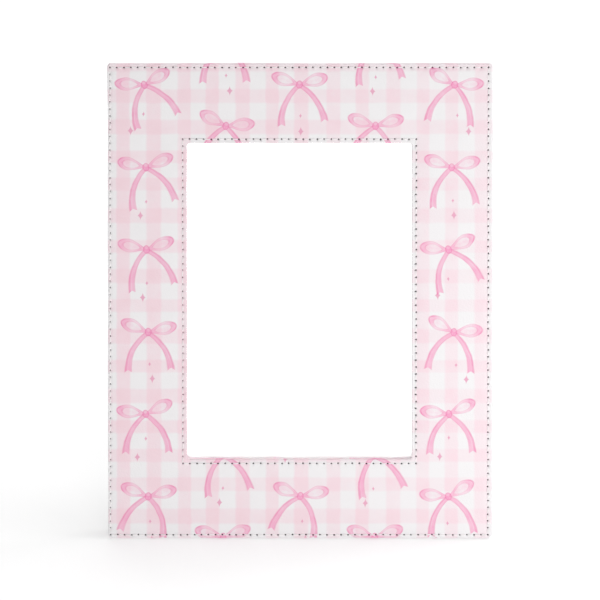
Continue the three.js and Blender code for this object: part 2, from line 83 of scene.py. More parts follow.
# An edge that turns more than this is eased, and shows as an edge.
EDGE_TURN = math.radians(32)
# A turned piece ends on its axis in a flat of this radius.
TURNED_TIP = 0.02

# A noise texture seldom leaves this range.
NOISE_SPAN = {"From Min": 0.3, "From Max": 0.7}

SHEET_PLACE = "sheet_mm"
NEEDLE_HOLE = "needle_hole"
RAIL_SIDES = ("left", "right", "top", "bottom")


def linear(colour: str) -> tuple[float, float, float, float]:
    """Turns an sRGB hex colour to linear light.

    Args:
        colour: The colour as "#rrggbb".

    Returns:
        Red, green, blue and an alpha of one.
    """
    shares = [int(colour[start : start + 2], 16) / 255 for start in (1, 3, 5)]
    red, green, blue = (s / 12.92 if s <= 0.04045 else ((s + 0.055) / 1.055) ** 2.4 for s in shares)
    return red, green, blue, 1.0


def feed(tree: NodeTree, node: Node, links: dict[int | str, object]) -> None:
    """Feeds a node's inputs.

    Args:
        tree: The node tree of a material or of the world.
        node: The node.
        links: What feeds each input, by name or number: a socket, a node's first output, or a plain value.
    """
    for key, value in links.items():
        if isinstance(value, Node):
            value = value.outputs[0]
        if isinstance(value, NodeSocket):
            tree.links.new(value, node.inputs[key])
        else:
            node.inputs[key].default_value = value


def add(
    tree: NodeTree,
    kind: str,
    links: dict[int | str, object] | None = None,
    stops: Sequence[tuple[float, Sequence[float]]] = (),
    **settings: object,
) -> Node:
    """Adds one node to a tree.

    Args:
        tree: The node tree of a material or of the world.
        kind: The node's type, without its ShaderNode prefix.
        links: What feeds each input, by name or number.
        stops: A colour ramp's places and colours.
        settings: The node's own properties.

    Returns:
        The new node.
    """
    node = tree.nodes.new("ShaderNode" + kind)
    for name, value in settings.items():
        setattr(node, name, value)
    if stops:
        ramp = node.color_ramp.elements
        while len(ramp) < len(stops):
            ramp.new(1.0)
        for stop, (place, colour) in zip(ramp, stops, strict=True):
            stop.position = place
            stop.color = colour
    feed(tree, node, links or {})
    return node


def place_mm(tree: NodeTree) -> Node:
    """Adds the surface's own place in millimetres, so that a texture's scale is one over a real size."""
    where = add(tree, "TexCoord").outputs["Object"]
    return add(tree, "VectorMath", {0: where, "Scale": 1 / MM}, operation="SCALE")


class Slot(Enum):
    """The record's material slots."""

    LEATHERETTE = "leatherette"
    THREAD = "thread"
    CHIPBOARD = "chipboard"
    PAPERED_MDF = "papered_mdf"
    VELOUR = "velour"
    GLASS = "glass"
    PAPER = "paper"
    NICKELLED_STEEL = "nickelled_steel"
    RIBBON = "ribbon"


@dataclass(frozen=True)
class Finish:
    """A real material: its name, its main colour and how matt it is. Its patterns' sizes are millimetres."""

    name: str
    colour: str
    roughness: float
    slot: Slot | None = None

    def material(self) -> Material:
        """Builds the material the first time, and finds it again after that.

        Returns:
            The material.
        """
        found = bpy.data.materials.get(self.name)
        if found:
            return found
        material = bpy.data.materials.new(self.name)
        material.use_nodes = True
        tree = material.node_tree
        tree.nodes.clear()
        plain = {"Base Color": linear(self.colour), "Roughness": self.roughness}
        shader = add(tree, "BsdfPrincipled", plain)
        feed(tree, shader, self.surface(tree))
        add(tree, "OutputMaterial", {"Surface": shader})
        return material

    def surface(self, tree: NodeTree) -> dict[str, object]:
        """Adds what the material shows beyond its colour.

        Args:
            tree: The material's node tree.

        Returns:
            What feeds the shader's sockets, by name: nodes, and values that are the same all over.
        """
        raise NotImplementedError


@dataclass(frozen=True)
class Bands:
    """One of the gingham's two sets of bands, in millimetres along one axis of the sheet.

    middle is where the middle of a band lies, and skipped is how many whole repeats further along its uneven
    spacing is taken from.
    """

    axis: str
    repeat: float
    middle: float
    strength: float
    skipped: int


@dataclass(frozen=True)
class BowStroke:
    """One painted stroke of the printed bow: a band along an ellipse, in millimetres from the bow's knot.

    Its turn puts the ellipse's own right end away from the knot. inner is the band's inner edge as a share of
    its outer one, and pinch narrows a loop towards the knot. sweep is the part that a tail covers, from the
    knot to its end, and notch cuts that end to a V, both in whole turns from the ellipse's left end.
    """

    middle: tuple[float, float]
    radii: tuple[float, float]
    turn: float
    inner: float
    sweep: tuple[float, float] | None = None
    pinch: float = 1.0
    notch: float = 0.0


# The tails run from the knot to their cut ends, and the loops and the knot lie over them.
BOW_STROKES = (
    BowStroke((-15.0, -18.8), (25.5, 25.5), 0.0, 0.874, (0.648, 0.488), notch=0.008),
    BowStroke((12.3, -22.9), (27.5, 27.5), 0.0, 0.884, (0.824, 0.968), notch=0.008),
    BowStroke((7.4, 2.5), (7.4, 3.7), 18.0, 0.56, pinch=0.42),
    BowStroke((-7.4, 2.5), (7.4, 3.7), 162.0, 0.56, pinch=0.42),
    BowStroke((0.0, 0.2), (1.7, 2.2), 0.0, 0.0),
)


@dataclass(frozen=True)
class Sparkle:
    """A printed sparkle: its place from the middle of a bow's cell, its stray, and its half height."""

    middle: tuple[float, float]
    stray: tuple[float, float]
    reach: float


# A large sparkle lies in the clear strip under each bow, and a small one between its tails.
SPARKLES = (
    Sparkle((0.0, -17.6), (18.0, 3.0), 2.8),
    Sparkle((0.5, -9.0), (5.0, 6.0), 1.5),
)


@dataclass(frozen=True)
class PrintedLeatherette(Finish):
    """Polyurethane leatherette on a thin cloth, printed and then embossed with a fine pebble grain.

    The clear top coat gives a soft, broad gloss. The print is a pale gingham under loose watercolour bows.
    """

    band_colour: str = "#e2cad1"
    crossing_colour: str = "#e1c2ca"
    bow_colour: str = "#e292b7"
    bow_edge_colour: str = "#da6b9e"
    sparkle_colour: str = "#d68fac"
    # The needle holes' painted shade, over the dark backing that shows through them.
    hole_shade_and_backing_colour: str = "#1d181b"
    hole_shade: tuple[float, float] = (0.25, 0.6)
    bands: tuple[Bands, Bands] = (Bands("X", 15.3, 1.8, 1.0, 3), Bands("Y", 15.65, -1.8, 0.8, 60))
    band_width: float = 6.9
    band_softness: float = 0.8
    band_wander: float = 3.0
    wander_length: float = 30.0
    dry_brush: float = 0.75
    wash_pool: float = 11.0
    wash_depth: tuple[float, float] = (0.34, 0.56)
    # The print's strength from left to right, painted paler on the right where the light falls stronger.
    lit_side_paling: tuple[float, float] = (1.06, 0.6)
    half_sheet: float = 98.4
    brush_wobble: float = 1.0
    band_tremor: float = 7.0
    bow_tremor: float = 9.0
    bow_cell: tuple[float, float] = (38.9, 43.0)
    bow_lift: float = 6.0
    bow_sway: float = 0.26
    bow_pool: float = 5.0
    bow_cover: float = 0.76
    stroke_edge: float = 0.8
    tail_slimness: tuple[float, float] = (1.45, 0.85)
    far_side: float = 0.3
    streak: float = 0.35
    streak_turns: float = 9.0
    streak_cover: float = 0.62
    loop_cover: float = 0.55
    sparkle_slimness: float = 1.6
    sparkle_waist: float = 0.7
    sparkle_cover: float = 0.85
    grain: float = 0.8
    grain_depth: float = 0.11
    gloss_patch: float = 6.0
    gloss_change: float = 0.08

    def surface(self, tree: NodeTree) -> dict[str, object]:
        """Adds the print, the painted shade in the needle holes, the embossed grain and a gloss that varies
        with it.

        Args:
            tree: The material's node tree.

        Returns:
            What feeds the shader's sockets.
        """
        sheet = add(tree, "Attribute", attribute_name=SHEET_PLACE).outputs["Vector"]
        print_colour = self.bows(tree, sheet, self.gingham(tree, sheet))
        # The needle holes are painted dark: partly the shade inside them, partly the dark backing seen
        # through.
        hole = add(tree, "Attribute", attribute_name=NEEDLE_HOLE).outputs["Fac"]
        shade_from, shade_to = self.hole_shade
        dark = add(tree, "MapRange", {"Value": hole, "From Min": shade_from, "From Max": shade_to})
        pricked = {"Fac": dark, "Color1": print_colour, "Color2": linear(self.hole_shade_and_backing_colour)}
        where = place_mm(tree)
        pebble = {"Vector": where, "Scale": 1 / self.grain, "Smoothness": 0.7}
        cells = add(tree, "TexVoronoi", pebble, feature="SMOOTH_F1")
        soft = add(tree, "TexNoise", {"Vector": where, "Scale": 1 / self.gloss_patch, "Detail": 2.0})
        height = add(tree, "Math", {0: cells.outputs["Distance"], 1: soft}, operation="ADD")
        bump = {"Strength": 0.5, "Distance": self.grain_depth * MM, "Height": height}
        least, most = self.roughness - self.gloss_change, self.roughness + self.gloss_change
        return {
            "Base Color": add(tree, "MixRGB", pricked),
            "Normal": add(tree, "Bump", bump),
            "Roughness": add(tree, "MapRange", {"Value": soft, "To Min": least, "To Max": most}),
        }

    def by_hand(self, tree: NodeTree, sheet: NodeSocket, tremor: float, detail: float) -> Node:
        """Strays from the true place on the sheet, as a painter's hand does.

        Args:
            tree: The material's node tree.
            sheet: Where the point is on the flat sheet, in millimetres.
            tremor: How far apart the strays are.
            detail: How many steps of finer ones they carry.

        Returns:
            The node that gives the strayed place.
        """
        tremors = add(tree, "TexNoise", {"Vector": sheet, "Scale": 1 / tremor, "Detail": detail})
        reach = (self.brush_wobble, self.brush_wobble, 0.0)
        strayed = {0: tremors.outputs["Color"], 1: reach, 2: sheet}
        return add(tree, "VectorMath", strayed, operation="MULTIPLY_ADD")

    def gingham(self, tree: NodeTree, sheet: NodeSocket) -> Node:
        """Adds the soft woven-look checks.

        Args:
            tree: The material's node tree.
            sheet: Where the point is on the flat sheet, in millimetres.

        Returns:
            The node that gives the checks' colour.
        """
        parts = add(tree, "SeparateXYZ", {0: self.by_hand(tree, sheet, self.band_tremor, 3.0)})
        half = self.band_width / 2
        limits = {"From Min": half + self.band_softness, "From Max": half - self.band_softness}
        layers = []
        for bands in self.bands:
            # The bands are straight, but drawn by hand, so their spacing and their strength wander.
            repeat, strength = bands.repeat, bands.strength
            shift = (bands.skipped + 0.5) * repeat - bands.middle - self.band_wander / 2
            along = add(tree, "Math", {0: parts.outputs[bands.axis], 1: shift}, operation="ADD")
            slow = {"W": along, "Scale": 1 / self.wander_length, "Detail": 0.0}
            drift = add(tree, "TexNoise", slow, noise_dimensions="1D")
            moved = add(tree, "Math", {0: drift, 1: self.band_wander, 2: along}, operation="MULTIPLY_ADD")
            in_check = add(tree, "Math", {0: moved, 1: repeat}, operation="FLOORED_MODULO")
            centred = add(tree, "Math", {0: in_check, 1: repeat / 2}, operation="SUBTRACT")
            away = add(tree, "Math", {0: centred}, operation="ABSOLUTE")
            band = add(tree, "MapRange", {"Value": away, **limits}, interpolation_type="SMOOTHSTEP")
            loads = {"To Min": self.dry_brush * strength, "To Max": strength}
            brush = add(tree, "MapRange", {"Value": drift, "From Min": 0.25, "From Max": 0.75, **loads})
            layers.append(add(tree, "Math", {0: band, 1: brush}, operation="MULTIPLY"))
        both = add(tree, "Math", {0: layers[0], 1: layers[1]}, operation="ADD")
        # Watercolour pools, so the wash is uneven at about a centimetre and at a millimetre or two.
        pooled = {"Vector": sheet, "Scale": 1 / self.wash_pool, "Detail": 4.0, "Roughness": 0.6}
        pools = add(tree, "TexNoise", pooled)
        thin, deep = self.wash_depth
        wash = add(tree, "MapRange", {"Value": pools, **NOISE_SPAN, "To Min": thin, "To Max": deep})
        # Painted light: the print is paler towards the right side of the sheet, where the light falls
        # stronger.
        left, right = self.lit_side_paling
        side = {"Value": parts.outputs["X"], "From Min": -self.half_sheet, "From Max": self.half_sheet}
        paled_by_light = add(tree, "MapRange", {**side, "To Min": left, "To Max": right})
        ink_with_light_paling = add(tree, "Math", {0: wash, 1: paled_by_light}, operation="MULTIPLY")
        depth = add(tree, "Math", {0: both, 1: ink_with_light_paling}, operation="MULTIPLY")
        tones = (self.colour, self.band_colour, self.crossing_colour)
        stops = [(layer / 2, linear(tone)) for layer, tone in enumerate(tones)]
        return add(tree, "ValToRGB", {"Fac": depth}, stops)

    def bows(self, tree: NodeTree, sheet: NodeSocket, ground: Node) -> Node:
        """Paints a ribbon bow and its sparkles in every cell of a half-drop repeat.

        Args:
            tree: The material's node tree.
            sheet: Where the point is on the flat sheet, in millimetres.
            ground: The colour under the bows.

        Returns:
            The node that gives the painted colour.
        """
        brushed = self.by_hand(tree, sheet, self.bow_tremor, 2.0)
        cell_size = (*self.bow_cell, 1.0)
        cells = add(tree, "VectorMath", {0: brushed, 1: cell_size}, operation="DIVIDE")
        # The middle column is centred on the sheet, so that a column runs down the middle of each side.
        centre = add(tree, "VectorMath", {0: cells, 1: (0.5, 0.0, 0.0)}, operation="ADD")
        parts = add(tree, "SeparateXYZ", {0: centre})
        column = add(tree, "Math", {0: parts.outputs["X"]}, operation="FLOOR")
        odd = add(tree, "Math", {0: column, 1: 2.0}, operation="FLOORED_MODULO")
        drop = add(tree, "Math", {0: odd, 1: 0.5, 2: parts.outputs["Y"]}, operation="MULTIPLY_ADD")
        dropped = add(tree, "CombineXYZ", {"X": parts.outputs["X"], "Y": drop})
        cell = add(tree, "VectorMath", {0: dropped}, operation="FLOOR")
        share = add(tree, "VectorMath", {0: dropped}, operation="FRACTION")
        centred = add(tree, "VectorMath", {0: share, 1: (0.5, 0.5, 0.0)}, operation="SUBTRACT")
        local = add(tree, "VectorMath", {0: centred, 1: cell_size}, operation="MULTIPLY")
        chance = add(tree, "TexWhiteNoise", {"Vector": cell}, noise_dimensions="2D")
        for sparkle in SPARKLES:
            ground = self.sparkle(tree, sparkle, local, chance, ground)
        angle = add(tree, "MapRange", {"Value": chance, "To Min": -self.bow_sway, "To Max": self.bow_sway})
        turned = add(tree, "VectorRotate", {"Vector": local, "Angle": angle}, rotation_type="Z_AXIS")
        # About half of the bows are mirrored.
        split = add(tree, "SeparateColor", {0: chance.outputs["Color"]})
        coin = add(tree, "Math", {0: split.outputs["Green"], 1: 0.5}, operation="SUBTRACT")
        facing = add(tree, "Math", {0: coin}, operation="SIGN")
        mirror = add(tree, "CombineXYZ", {"X": facing, "Y": 1.0})
        handed = add(tree, "VectorMath", {0: turned, 1: mirror}, operation="MULTIPLY")
        lifted = add(tree, "VectorMath", {0: handed, 1: (0.0, self.bow_lift, 0.0)}, operation="SUBTRACT")
        pools = add(tree, "TexNoise", {"Vector": sheet, "Scale": 1 / self.bow_pool, "Detail": 3.0})
        cover = add(tree, "MapRange", {"Value": pools, **NOISE_SPAN, "To Min": self.bow_cover})
        for stroke in BOW_STROKES:
            ground = self.stroke(tree, stroke, lifted, cover, ground)
        return ground

    def stroke(self, tree: NodeTree, stroke: BowStroke, place: Node, cover: Node, ground: Node) -> Node:
        """Paints one stroke of a bow, paler along its middle, where the wash is thin.

        Args:
            tree: The material's node tree.
            stroke: The stroke.
            place: The point's place from the bow's knot.
            cover: How much the wash covers there.
            ground: The colour under the stroke.

        Returns:
            The node that gives the painted colour.
        """
        reach = self.stroke_edge
        scale = (stroke.radii[0] / reach, stroke.radii[1] / reach, 1.0)
        turn = (0.0, 0.0, math.radians(stroke.turn))
        at = {"Location": (*stroke.middle, 0.0), "Rotation": turn, "Scale": scale}
        mapped = add(tree, "Mapping", {"Vector": place, **at}, vector_type="TEXTURE")
        parts = add(tree, "SeparateXYZ", {0: mapped})
        narrow = {"Value": parts.outputs["X"], "From Min": -reach, "From Max": 0.3, "To Min": stroke.pinch}
        waist = add(tree, "MapRange", narrow, interpolation_type="SMOOTHSTEP")
        tall = add(tree, "Math", {0: parts.outputs["Y"], 1: waist}, operation="DIVIDE")
        shaped = add(tree, "CombineXYZ", {"X": parts.outputs["X"], "Y": tall})
        radius = add(tree, "VectorMath", {0: shaped}, operation="LENGTH").outputs["Value"]
        share = add(tree, "TexGradient", {"Vector": shaped}, gradient_type="RADIAL").outputs["Fac"]
        inner, band = reach * stroke.inner, reach * (1 - stroke.inner)
        centre_line = {1: inner + band / 2}
        off = add(tree, "Math", {0: radius, **centre_line}, operation="SUBTRACT")
        if stroke.sweep:
            # A tail is narrow at the knot and widens to its cut end.
            start, end = stroke.sweep
            at_knot, at_end = self.tail_slimness
            widths = {"From Min": start, "From Max": end, "To Min": at_knot, "To Max": at_end}
            slim = add(tree, "MapRange", {"Value": share, **widths})
            off = add(tree, "Math", {0: off, 1: slim}, operation="MULTIPLY")
            radius = add(tree, "Math", {0: off, **centre_line}, operation="ADD")
        fade = 0.06 * band
        edge, pale = linear(self.bow_edge_colour)[:3], linear(self.bow_colour)[:3]
        stops = [(inner + 0.3 * band, (*pale, 0.95)), (inner + 0.6 * band, (*pale, 0.88))]
        stops += [(reach - 2 * fade, (*edge, 1.0)), (reach + fade, (*edge, 0.0))]
        if stroke.inner:
            # The ribbon's far side shows through a loop as a thin wash.
            seen_through = 0.0 if stroke.sweep else self.far_side
            stops = [(inner - fade, (*pale, seen_through)), (inner + fade, (*edge, 0.8)), *stops]
        ramp = add(tree, "ValToRGB", {"Fac": radius}, stops)
        # The brush leaves fine streaks along the ribbon.
        streak_scale = (stroke.radii[1] / reach / self.streak, self.streak_turns, 1.0)
        along = add(tree, "CombineXYZ", {"X": radius, "Y": share})
        streaks = add(tree, "VectorMath", {0: along, 1: streak_scale}, operation="MULTIPLY")
        brush = add(tree, "TexNoise", {"Vector": streaks, "Scale": 1.0, "Detail": 2.0})
        thin = {"Value": brush, "From Min": 0.3, "From Max": 0.62, "To Min": self.streak_cover}
        wash = add(tree, "Math", {0: add(tree, "MapRange", thin), 1: cover}, operation="MULTIPLY")
        if stroke.pinch < 1:
            # A loop is dense where it bends and where it is tied, and thin between.
            sides = add(tree, "Math", {0: share, 1: 0.25}, operation="PINGPONG")
            dense = {"From Min": 0.08, "From Max": 0.22, "To Min": 1.0, "To Max": self.loop_cover}
            bend = add(tree, "MapRange", {"Value": sides, **dense})
            wash = add(tree, "Math", {0: wash, 1: bend}, operation="MULTIPLY")
        shown = add(tree, "Math", {0: ramp.outputs["Alpha"], 1: wash}, operation="MULTIPLY")
        if stroke.sweep:
            beside = add(tree, "Math", {0: off}, operation="ABSOLUTE")
            slant = math.copysign(2 * stroke.notch / band, start - end)
            cut = add(tree, "Math", {0: beside, 1: slant, 2: share}, operation="MULTIPLY_ADD")
            limits = {1: (start + end) / 2, 2: abs(end - start) / 2}
            drawn = add(tree, "Math", {0: cut, **limits}, operation="COMPARE")
            shown = add(tree, "Math", {0: shown, 1: drawn}, operation="MULTIPLY")
        return add(tree, "MixRGB", {"Fac": shown, "Color1": ground, "Color2": ramp})

    def sparkle(self, tree: NodeTree, sparkle: Sparkle, place: Node, chance: Node, ground: Node) -> Node:
        """Paints a small four-pointed sparkle beside each bow.

        Args:
            tree: The material's node tree.
            sparkle: Where the sparkle is, and its size.
            place: The point's place from the middle of the bow's cell.
            chance: The cell's random colour.
            ground: The colour under it.

        Returns:
            The node that gives the painted colour.
        """
        stray = Vector((*sparkle.stray, 0.0))
        start = Vector((*sparkle.middle, 0.0)) - stray / 2
        shift = {0: chance.outputs["Color"], 1: stray, 2: start}
        middle = add(tree, "VectorMath", shift, operation="MULTIPLY_ADD")
        away = add(tree, "VectorMath", {0: place, 1: middle}, operation="SUBTRACT")
        arms = (self.sparkle_slimness / sparkle.reach, 1 / sparkle.reach, 0.0)
        share = add(tree, "VectorMath", {0: away, 1: arms}, operation="MULTIPLY")
        spread = add(tree, "VectorMath", {0: share}, operation="ABSOLUTE")
        parts = add(tree, "SeparateXYZ", {0: spread}).outputs
        # A power under one draws the sides in between the four points.
        across = add(tree, "Math", {0: parts["X"], 1: self.sparkle_waist}, operation="POWER")
        up = add(tree, "Math", {0: parts["Y"], 1: self.sparkle_waist}, operation="POWER")
        star = add(tree, "Math", {0: across, 1: up}, operation="ADD")
        rim = {"Value": star, "From Min": 1.0, "From Max": 0.8, "To Max": self.sparkle_cover}
        painted = {"Fac": add(tree, "MapRange", rim), "Color1": ground, "Color2": linear(self.sparkle_colour)}
        return add(tree, "MixRGB", painted)


@dataclass(frozen=True)
class SewingThread(Finish):
    """Bonded polyester thread of two plies: white, with a faint lustre along its filaments."""

    hollow_shade_colour: str = "#dcd8d8"
    # Real filaments are finer than this, and are drawn coarse enough to show in a close view.
    filament: float = 0.12
    relief: float = 0.03

    def surface(self, tree: NodeTree) -> dict[str, object]:
        """Adds fine filaments, with painted shade in the hollows between them.

        Args:
            tree: The material's node tree.

        Returns:
            What feeds the shader's sockets.
        """
        fibres = add(tree, "TexNoise", {"Vector": place_mm(tree), "Scale": 1 / self.filament, "Detail": 2.0})
        # The hollows between the filaments are painted a shade darker.
        stops = ((0.3, linear(self.hollow_shade_colour)), (0.7, linear(self.colour)))
        return {
            "Sheen Weight": 0.25,
            "Base Color": add(tree, "ValToRGB", {"Fac": fibres}, stops),
            "Normal": add(tree, "Bump", {"Strength": 0.4, "Distance": self.relief * MM, "Height": fibres}),
        }


@dataclass(frozen=True)
class FibreBoard(Finish):
    """Pressed board, bare or faced with paper: matt, with short fibres that show as fine flecks."""

    fleck_colour: str = "#000000"
    fleck: float = 0.5
    cloud: float = 25.0
    cloud_share: float = 0.35
    relief: float = 0.04

    def surface(self, tree: NodeTree) -> dict[str, object]:
        """Adds the flecks, a slow change of tone and a faint tooth.

        Args:
            tree: The material's node tree.

        Returns:
            What feeds the shader's sockets.
        """
        where = place_mm(tree)
        short = {"Scale": 1 / self.fleck, "Detail": 5.0, "Roughness": 0.65}
        fibres = add(tree, "TexNoise", {"Vector": where, **short})
        tone = add(tree, "TexNoise", {"Vector": where, "Scale": 1 / self.cloud, "Detail": 2.0})
        both = add(tree, "Math", {0: tone, 1: self.cloud_share, 2: fibres}, operation="MULTIPLY_ADD")
        stops = ((0.45, linear(self.fleck_colour)), (0.85, linear(self.colour)))
        return {
            "Base Color": add(tree, "ValToRGB", {"Fac": both}, stops),
            "Normal": add(tree, "Bump", {"Strength": 0.5, "Distance": self.relief * MM, "Height": fibres}),
        }


@dataclass(frozen=True)
class Velour(Finish):
    """Flocked velour paper: a short upright nap that drinks light and glows at a glance, with stroked patches
    of painted sheen.
    """

    deep_colour: str = "#08080a"
    sheen_colour: str = "#8d8d94"
    # The real nap is finer than this, and is drawn coarse enough to show in a close view.
    nap: float = 0.35
    stroked: float = 22.0
    stroke_share: float = 0.9
    relief: float = 0.12

    def surface(self, tree: NodeTree) -> dict[str, object]:
        """Adds the nap, patches of painted sheen where it was stroked, and its sheen.

        Args:
            tree: The material's node tree.

        Returns:
            What feeds the shader's sockets.
        """
        where = place_mm(tree)
        short = {"Scale": 1 / self.nap, "Detail": 3.0, "Roughness": 0.7}
        nap = add(tree, "TexNoise", {"Vector": where, **short})
        along = add(tree, "VectorMath", {0: where, 1: (1.0, 0.45, 0.45)}, operation="MULTIPLY")
        # Painted sheen: slow patches where the nap was stroked show lighter and darker in the colour.
        strokes = add(tree, "TexNoise", {"Vector": along, "Scale": 1 / self.stroked, "Detail": 3.0})
        both = add(tree, "Math", {0: strokes, 1: self.stroke_share, 2: nap}, operation="MULTIPLY_ADD")
        stops = ((0.7, linear(self.deep_colour)), (1.0, linear(self.colour)))
        return {
            "Sheen Weight": 0.55,
            "Sheen Roughness": 0.4,
            "Sheen Tint": linear(self.sheen_colour),
            "Specular IOR Level": 0.2,
            "Base Color": add(tree, "ValToRGB", {"Fac": both}, stops),
            "Normal": add(tree, "Bump", {"Strength": 0.8, "Distance": self.relief * MM, "Height": nap}),
        }


@dataclass(frozen=True)
class FloatGlass(Finish):
    """Clear float glass: it shows only its reflections, and a few faint smears where it was wiped."""

    smear: float = 18.0
    smeared_roughness: float = 0.05

    def surface(self, tree: NodeTree) -> dict[str, object]:
        """Makes it clear, with wiped smears in its gloss.

        Args:
            tree: The material's node tree.

        Returns:
            What feeds the shader's sockets.
        """
        where = add(tree, "VectorMath", {0: place_mm(tree), 1: (1.0, 1.0, 0.3)}, operation="MULTIPLY")
        smears = add(tree, "TexNoise", {"Vector": where, "Scale": 1 / self.smear, "Detail": 4.0})
        wiped = {"From Min": 0.5, "From Max": 0.8, "To Min": self.roughness, "To Max": self.smeared_roughness}
        gloss = add(tree, "MapRange", {"Value": smears, **wiped})
        return {"Transmission Weight": 1.0, "IOR": 1.52, "Roughness": gloss}


@dataclass(frozen=True)
class CoatedPaper(Finish):
    """Smooth white printing paper: almost no tooth, and a trace of cloudiness in its white.

    It is given a painted glow, so it stays white beside the panel's edge, where the panel shades it.
    """

    cloud_colour: str = "#fbfbfa"
    cloud: float = 4.0
    painted_glow: float = 0.3

    def surface(self, tree: NodeTree) -> dict[str, object]:
        """Adds the paper's formation, which is cloudy at a few millimetres.

        Args:
            tree: The material's node tree.

        Returns:
            What feeds the shader's sockets.
        """
        clouds = add(tree, "TexNoise", {"Vector": place_mm(tree), "Scale": 1 / self.cloud, "Detail": 3.0})
        stops = ((0.2, linear(self.cloud_colour)), (0.8, linear(self.colour)))
        # Painted light: the paper emits a little light of its own, though it is no lamp.
        return {
            "Emission Color": linear(self.colour),
            "Emission Strength": self.painted_glow,
            "Base Color": add(tree, "ValToRGB", {"Fac": clouds}, stops),
        }


@dataclass(frozen=True)
class NickelledSteel(Finish):
    """Pressed steel, barrel-polished and nickel plated: warm grey, bright, with fine handling scratches."""

    dull_colour: str = "#a9a59d"
    # Real scratches are finer than this, and are drawn coarse enough to show in a close view.
    scratch: float = 0.25
    cloud: float = 5.0
    relief: float = 0.01
    gloss_change: tuple[float, float] = (-0.1, 0.12)

    def surface(self, tree: NodeTree) -> dict[str, object]:
        """Adds scratches that vary the gloss, and a slow change of tone.

        Args:
            tree: The material's node tree.

        Returns:
            What feeds the shader's sockets.
        """
        where = place_mm(tree)
        drawn = add(tree, "VectorMath", {0: where, 1: (0.12, 1.0, 1.0)}, operation="MULTIPLY")
        lines = add(tree, "TexNoise", {"Vector": drawn, "Scale": 1 / self.scratch, "Detail": 3.0})
        least, most = (self.roughness + change for change in self.gloss_change)
        gloss = {"To Min": least, "To Max": most}
        tone = add(tree, "TexNoise", {"Vector": where, "Scale": 1 / self.cloud, "Detail": 2.0})
        stops = ((0.3, linear(self.dull_colour)), (0.7, linear(self.colour)))
        return {
            "Metallic": 1.0,
            "Base Color": add(tree, "ValToRGB", {"Fac": tone}, stops),
            "Roughness": add(tree, "MapRange", {"Value": lines, **NOISE_SPAN, **gloss}),
            "Normal": add(tree, "Bump", {"Strength": 0.25, "Distance": self.relief * MM, "Height": lines}),
        }


@dataclass(frozen=True)
class SatinRibbon(Finish):
    """Woven polyester satin: long floats along the ribbon give it a streaked, silky gloss."""

    hollow_shade_colour: str = "#0b0b0d"
    # The real warp is finer than this, and is drawn coarse enough to show in a close view.
    thread: float = 0.3
    relief: float = 0.05

    def surface(self, tree: NodeTree) -> dict[str, object]:
        """Adds the warp's lines, with painted shade between its floats, and its lustre.

        Args:
            tree: The material's node tree.

        Returns:
            What feeds the shader's sockets.
        """
        where = add(tree, "VectorMath", {0: place_mm(tree), 1: (1.0, 0.06, 0.06)}, operation="MULTIPLY")
        warp = add(tree, "TexNoise", {"Vector": where, "Scale": 1 / self.thread, "Detail": 2.0})
        # The hollows between the warp's floats are painted a shade darker.
        stops = ((0.3, linear(self.hollow_shade_colour)), (0.7, linear(self.colour)))
        return {
            "Sheen Weight": 0.3,
            "Anisotropic": 0.5,
            "Base Color": add(tree, "ValToRGB", {"Fac": warp}, stops),
            "Normal": add(tree, "Bump", {"Strength": 0.5, "Distance": self.relief * MM, "Height": warp}),
        }


@dataclass(frozen=True)
class LightTable(Finish):
    """A studio table's opal acrylic: matt, even, and lit a little from below to keep shadows soft."""

    glow: float = 0.375
    rolled: float = 30.0
    gloss_change: float = 0.05

    def surface(self, tree: NodeTree) -> dict[str, object]:
        """Lights it, and keeps it plain, with a faint unevenness in the gloss.

        Args:
            tree: The material's node tree.

        Returns:
            What feeds the shader's sockets.
        """
        patches = add(tree, "TexNoise", {"Vector": place_mm(tree), "Scale": 1 / self.rolled})
        least, most = self.roughness - self.gloss_change, self.roughness + self.gloss_change
        return {
            "Specular IOR Level": 0.2,
            "Emission Color": linear("#ffffff"),
            "Emission Strength": self.glow,
            "Roughness": add(tree, "MapRange", {"Value": patches, "To Min": least, "To Max": most}),
        }


LEATHERETTE = PrintedLeatherette("Printed PU leatherette", "#dfddde", 0.46, Slot.LEATHERETTE)
THREAD = SewingThread("White polyester thread", "#efebec", 0.6, Slot.THREAD)
CHIPBOARD = FibreBoard("Grey chipboard", "#a08c74", 0.9, Slot.CHIPBOARD, "#7d6b56")
BLACK_MDF = FibreBoard("Black papered MDF", "#232225", 0.62, Slot.PAPERED_MDF, "#131214", relief=0.02)
VELOUR = Velour("Black velour paper", "#1b1b1e", 0.95, Slot.VELOUR)
GLASS = FloatGlass("Clear float glass", "#ffffff", 0.0, Slot.GLASS)
PAPER = CoatedPaper("White coated paper", "#ffffff", 0.6, Slot.PAPER)
NICKEL = NickelledSteel("Nickel plated steel", "#c8c4bb", 0.28, Slot.NICKELLED_STEEL)
SATIN = SatinRibbon("Black polyester satin", "#1c1c20", 0.38, Slot.RIBBON)
FLOOR = LightTable("Matt opal acrylic", "#d5d5d5", 0.8)


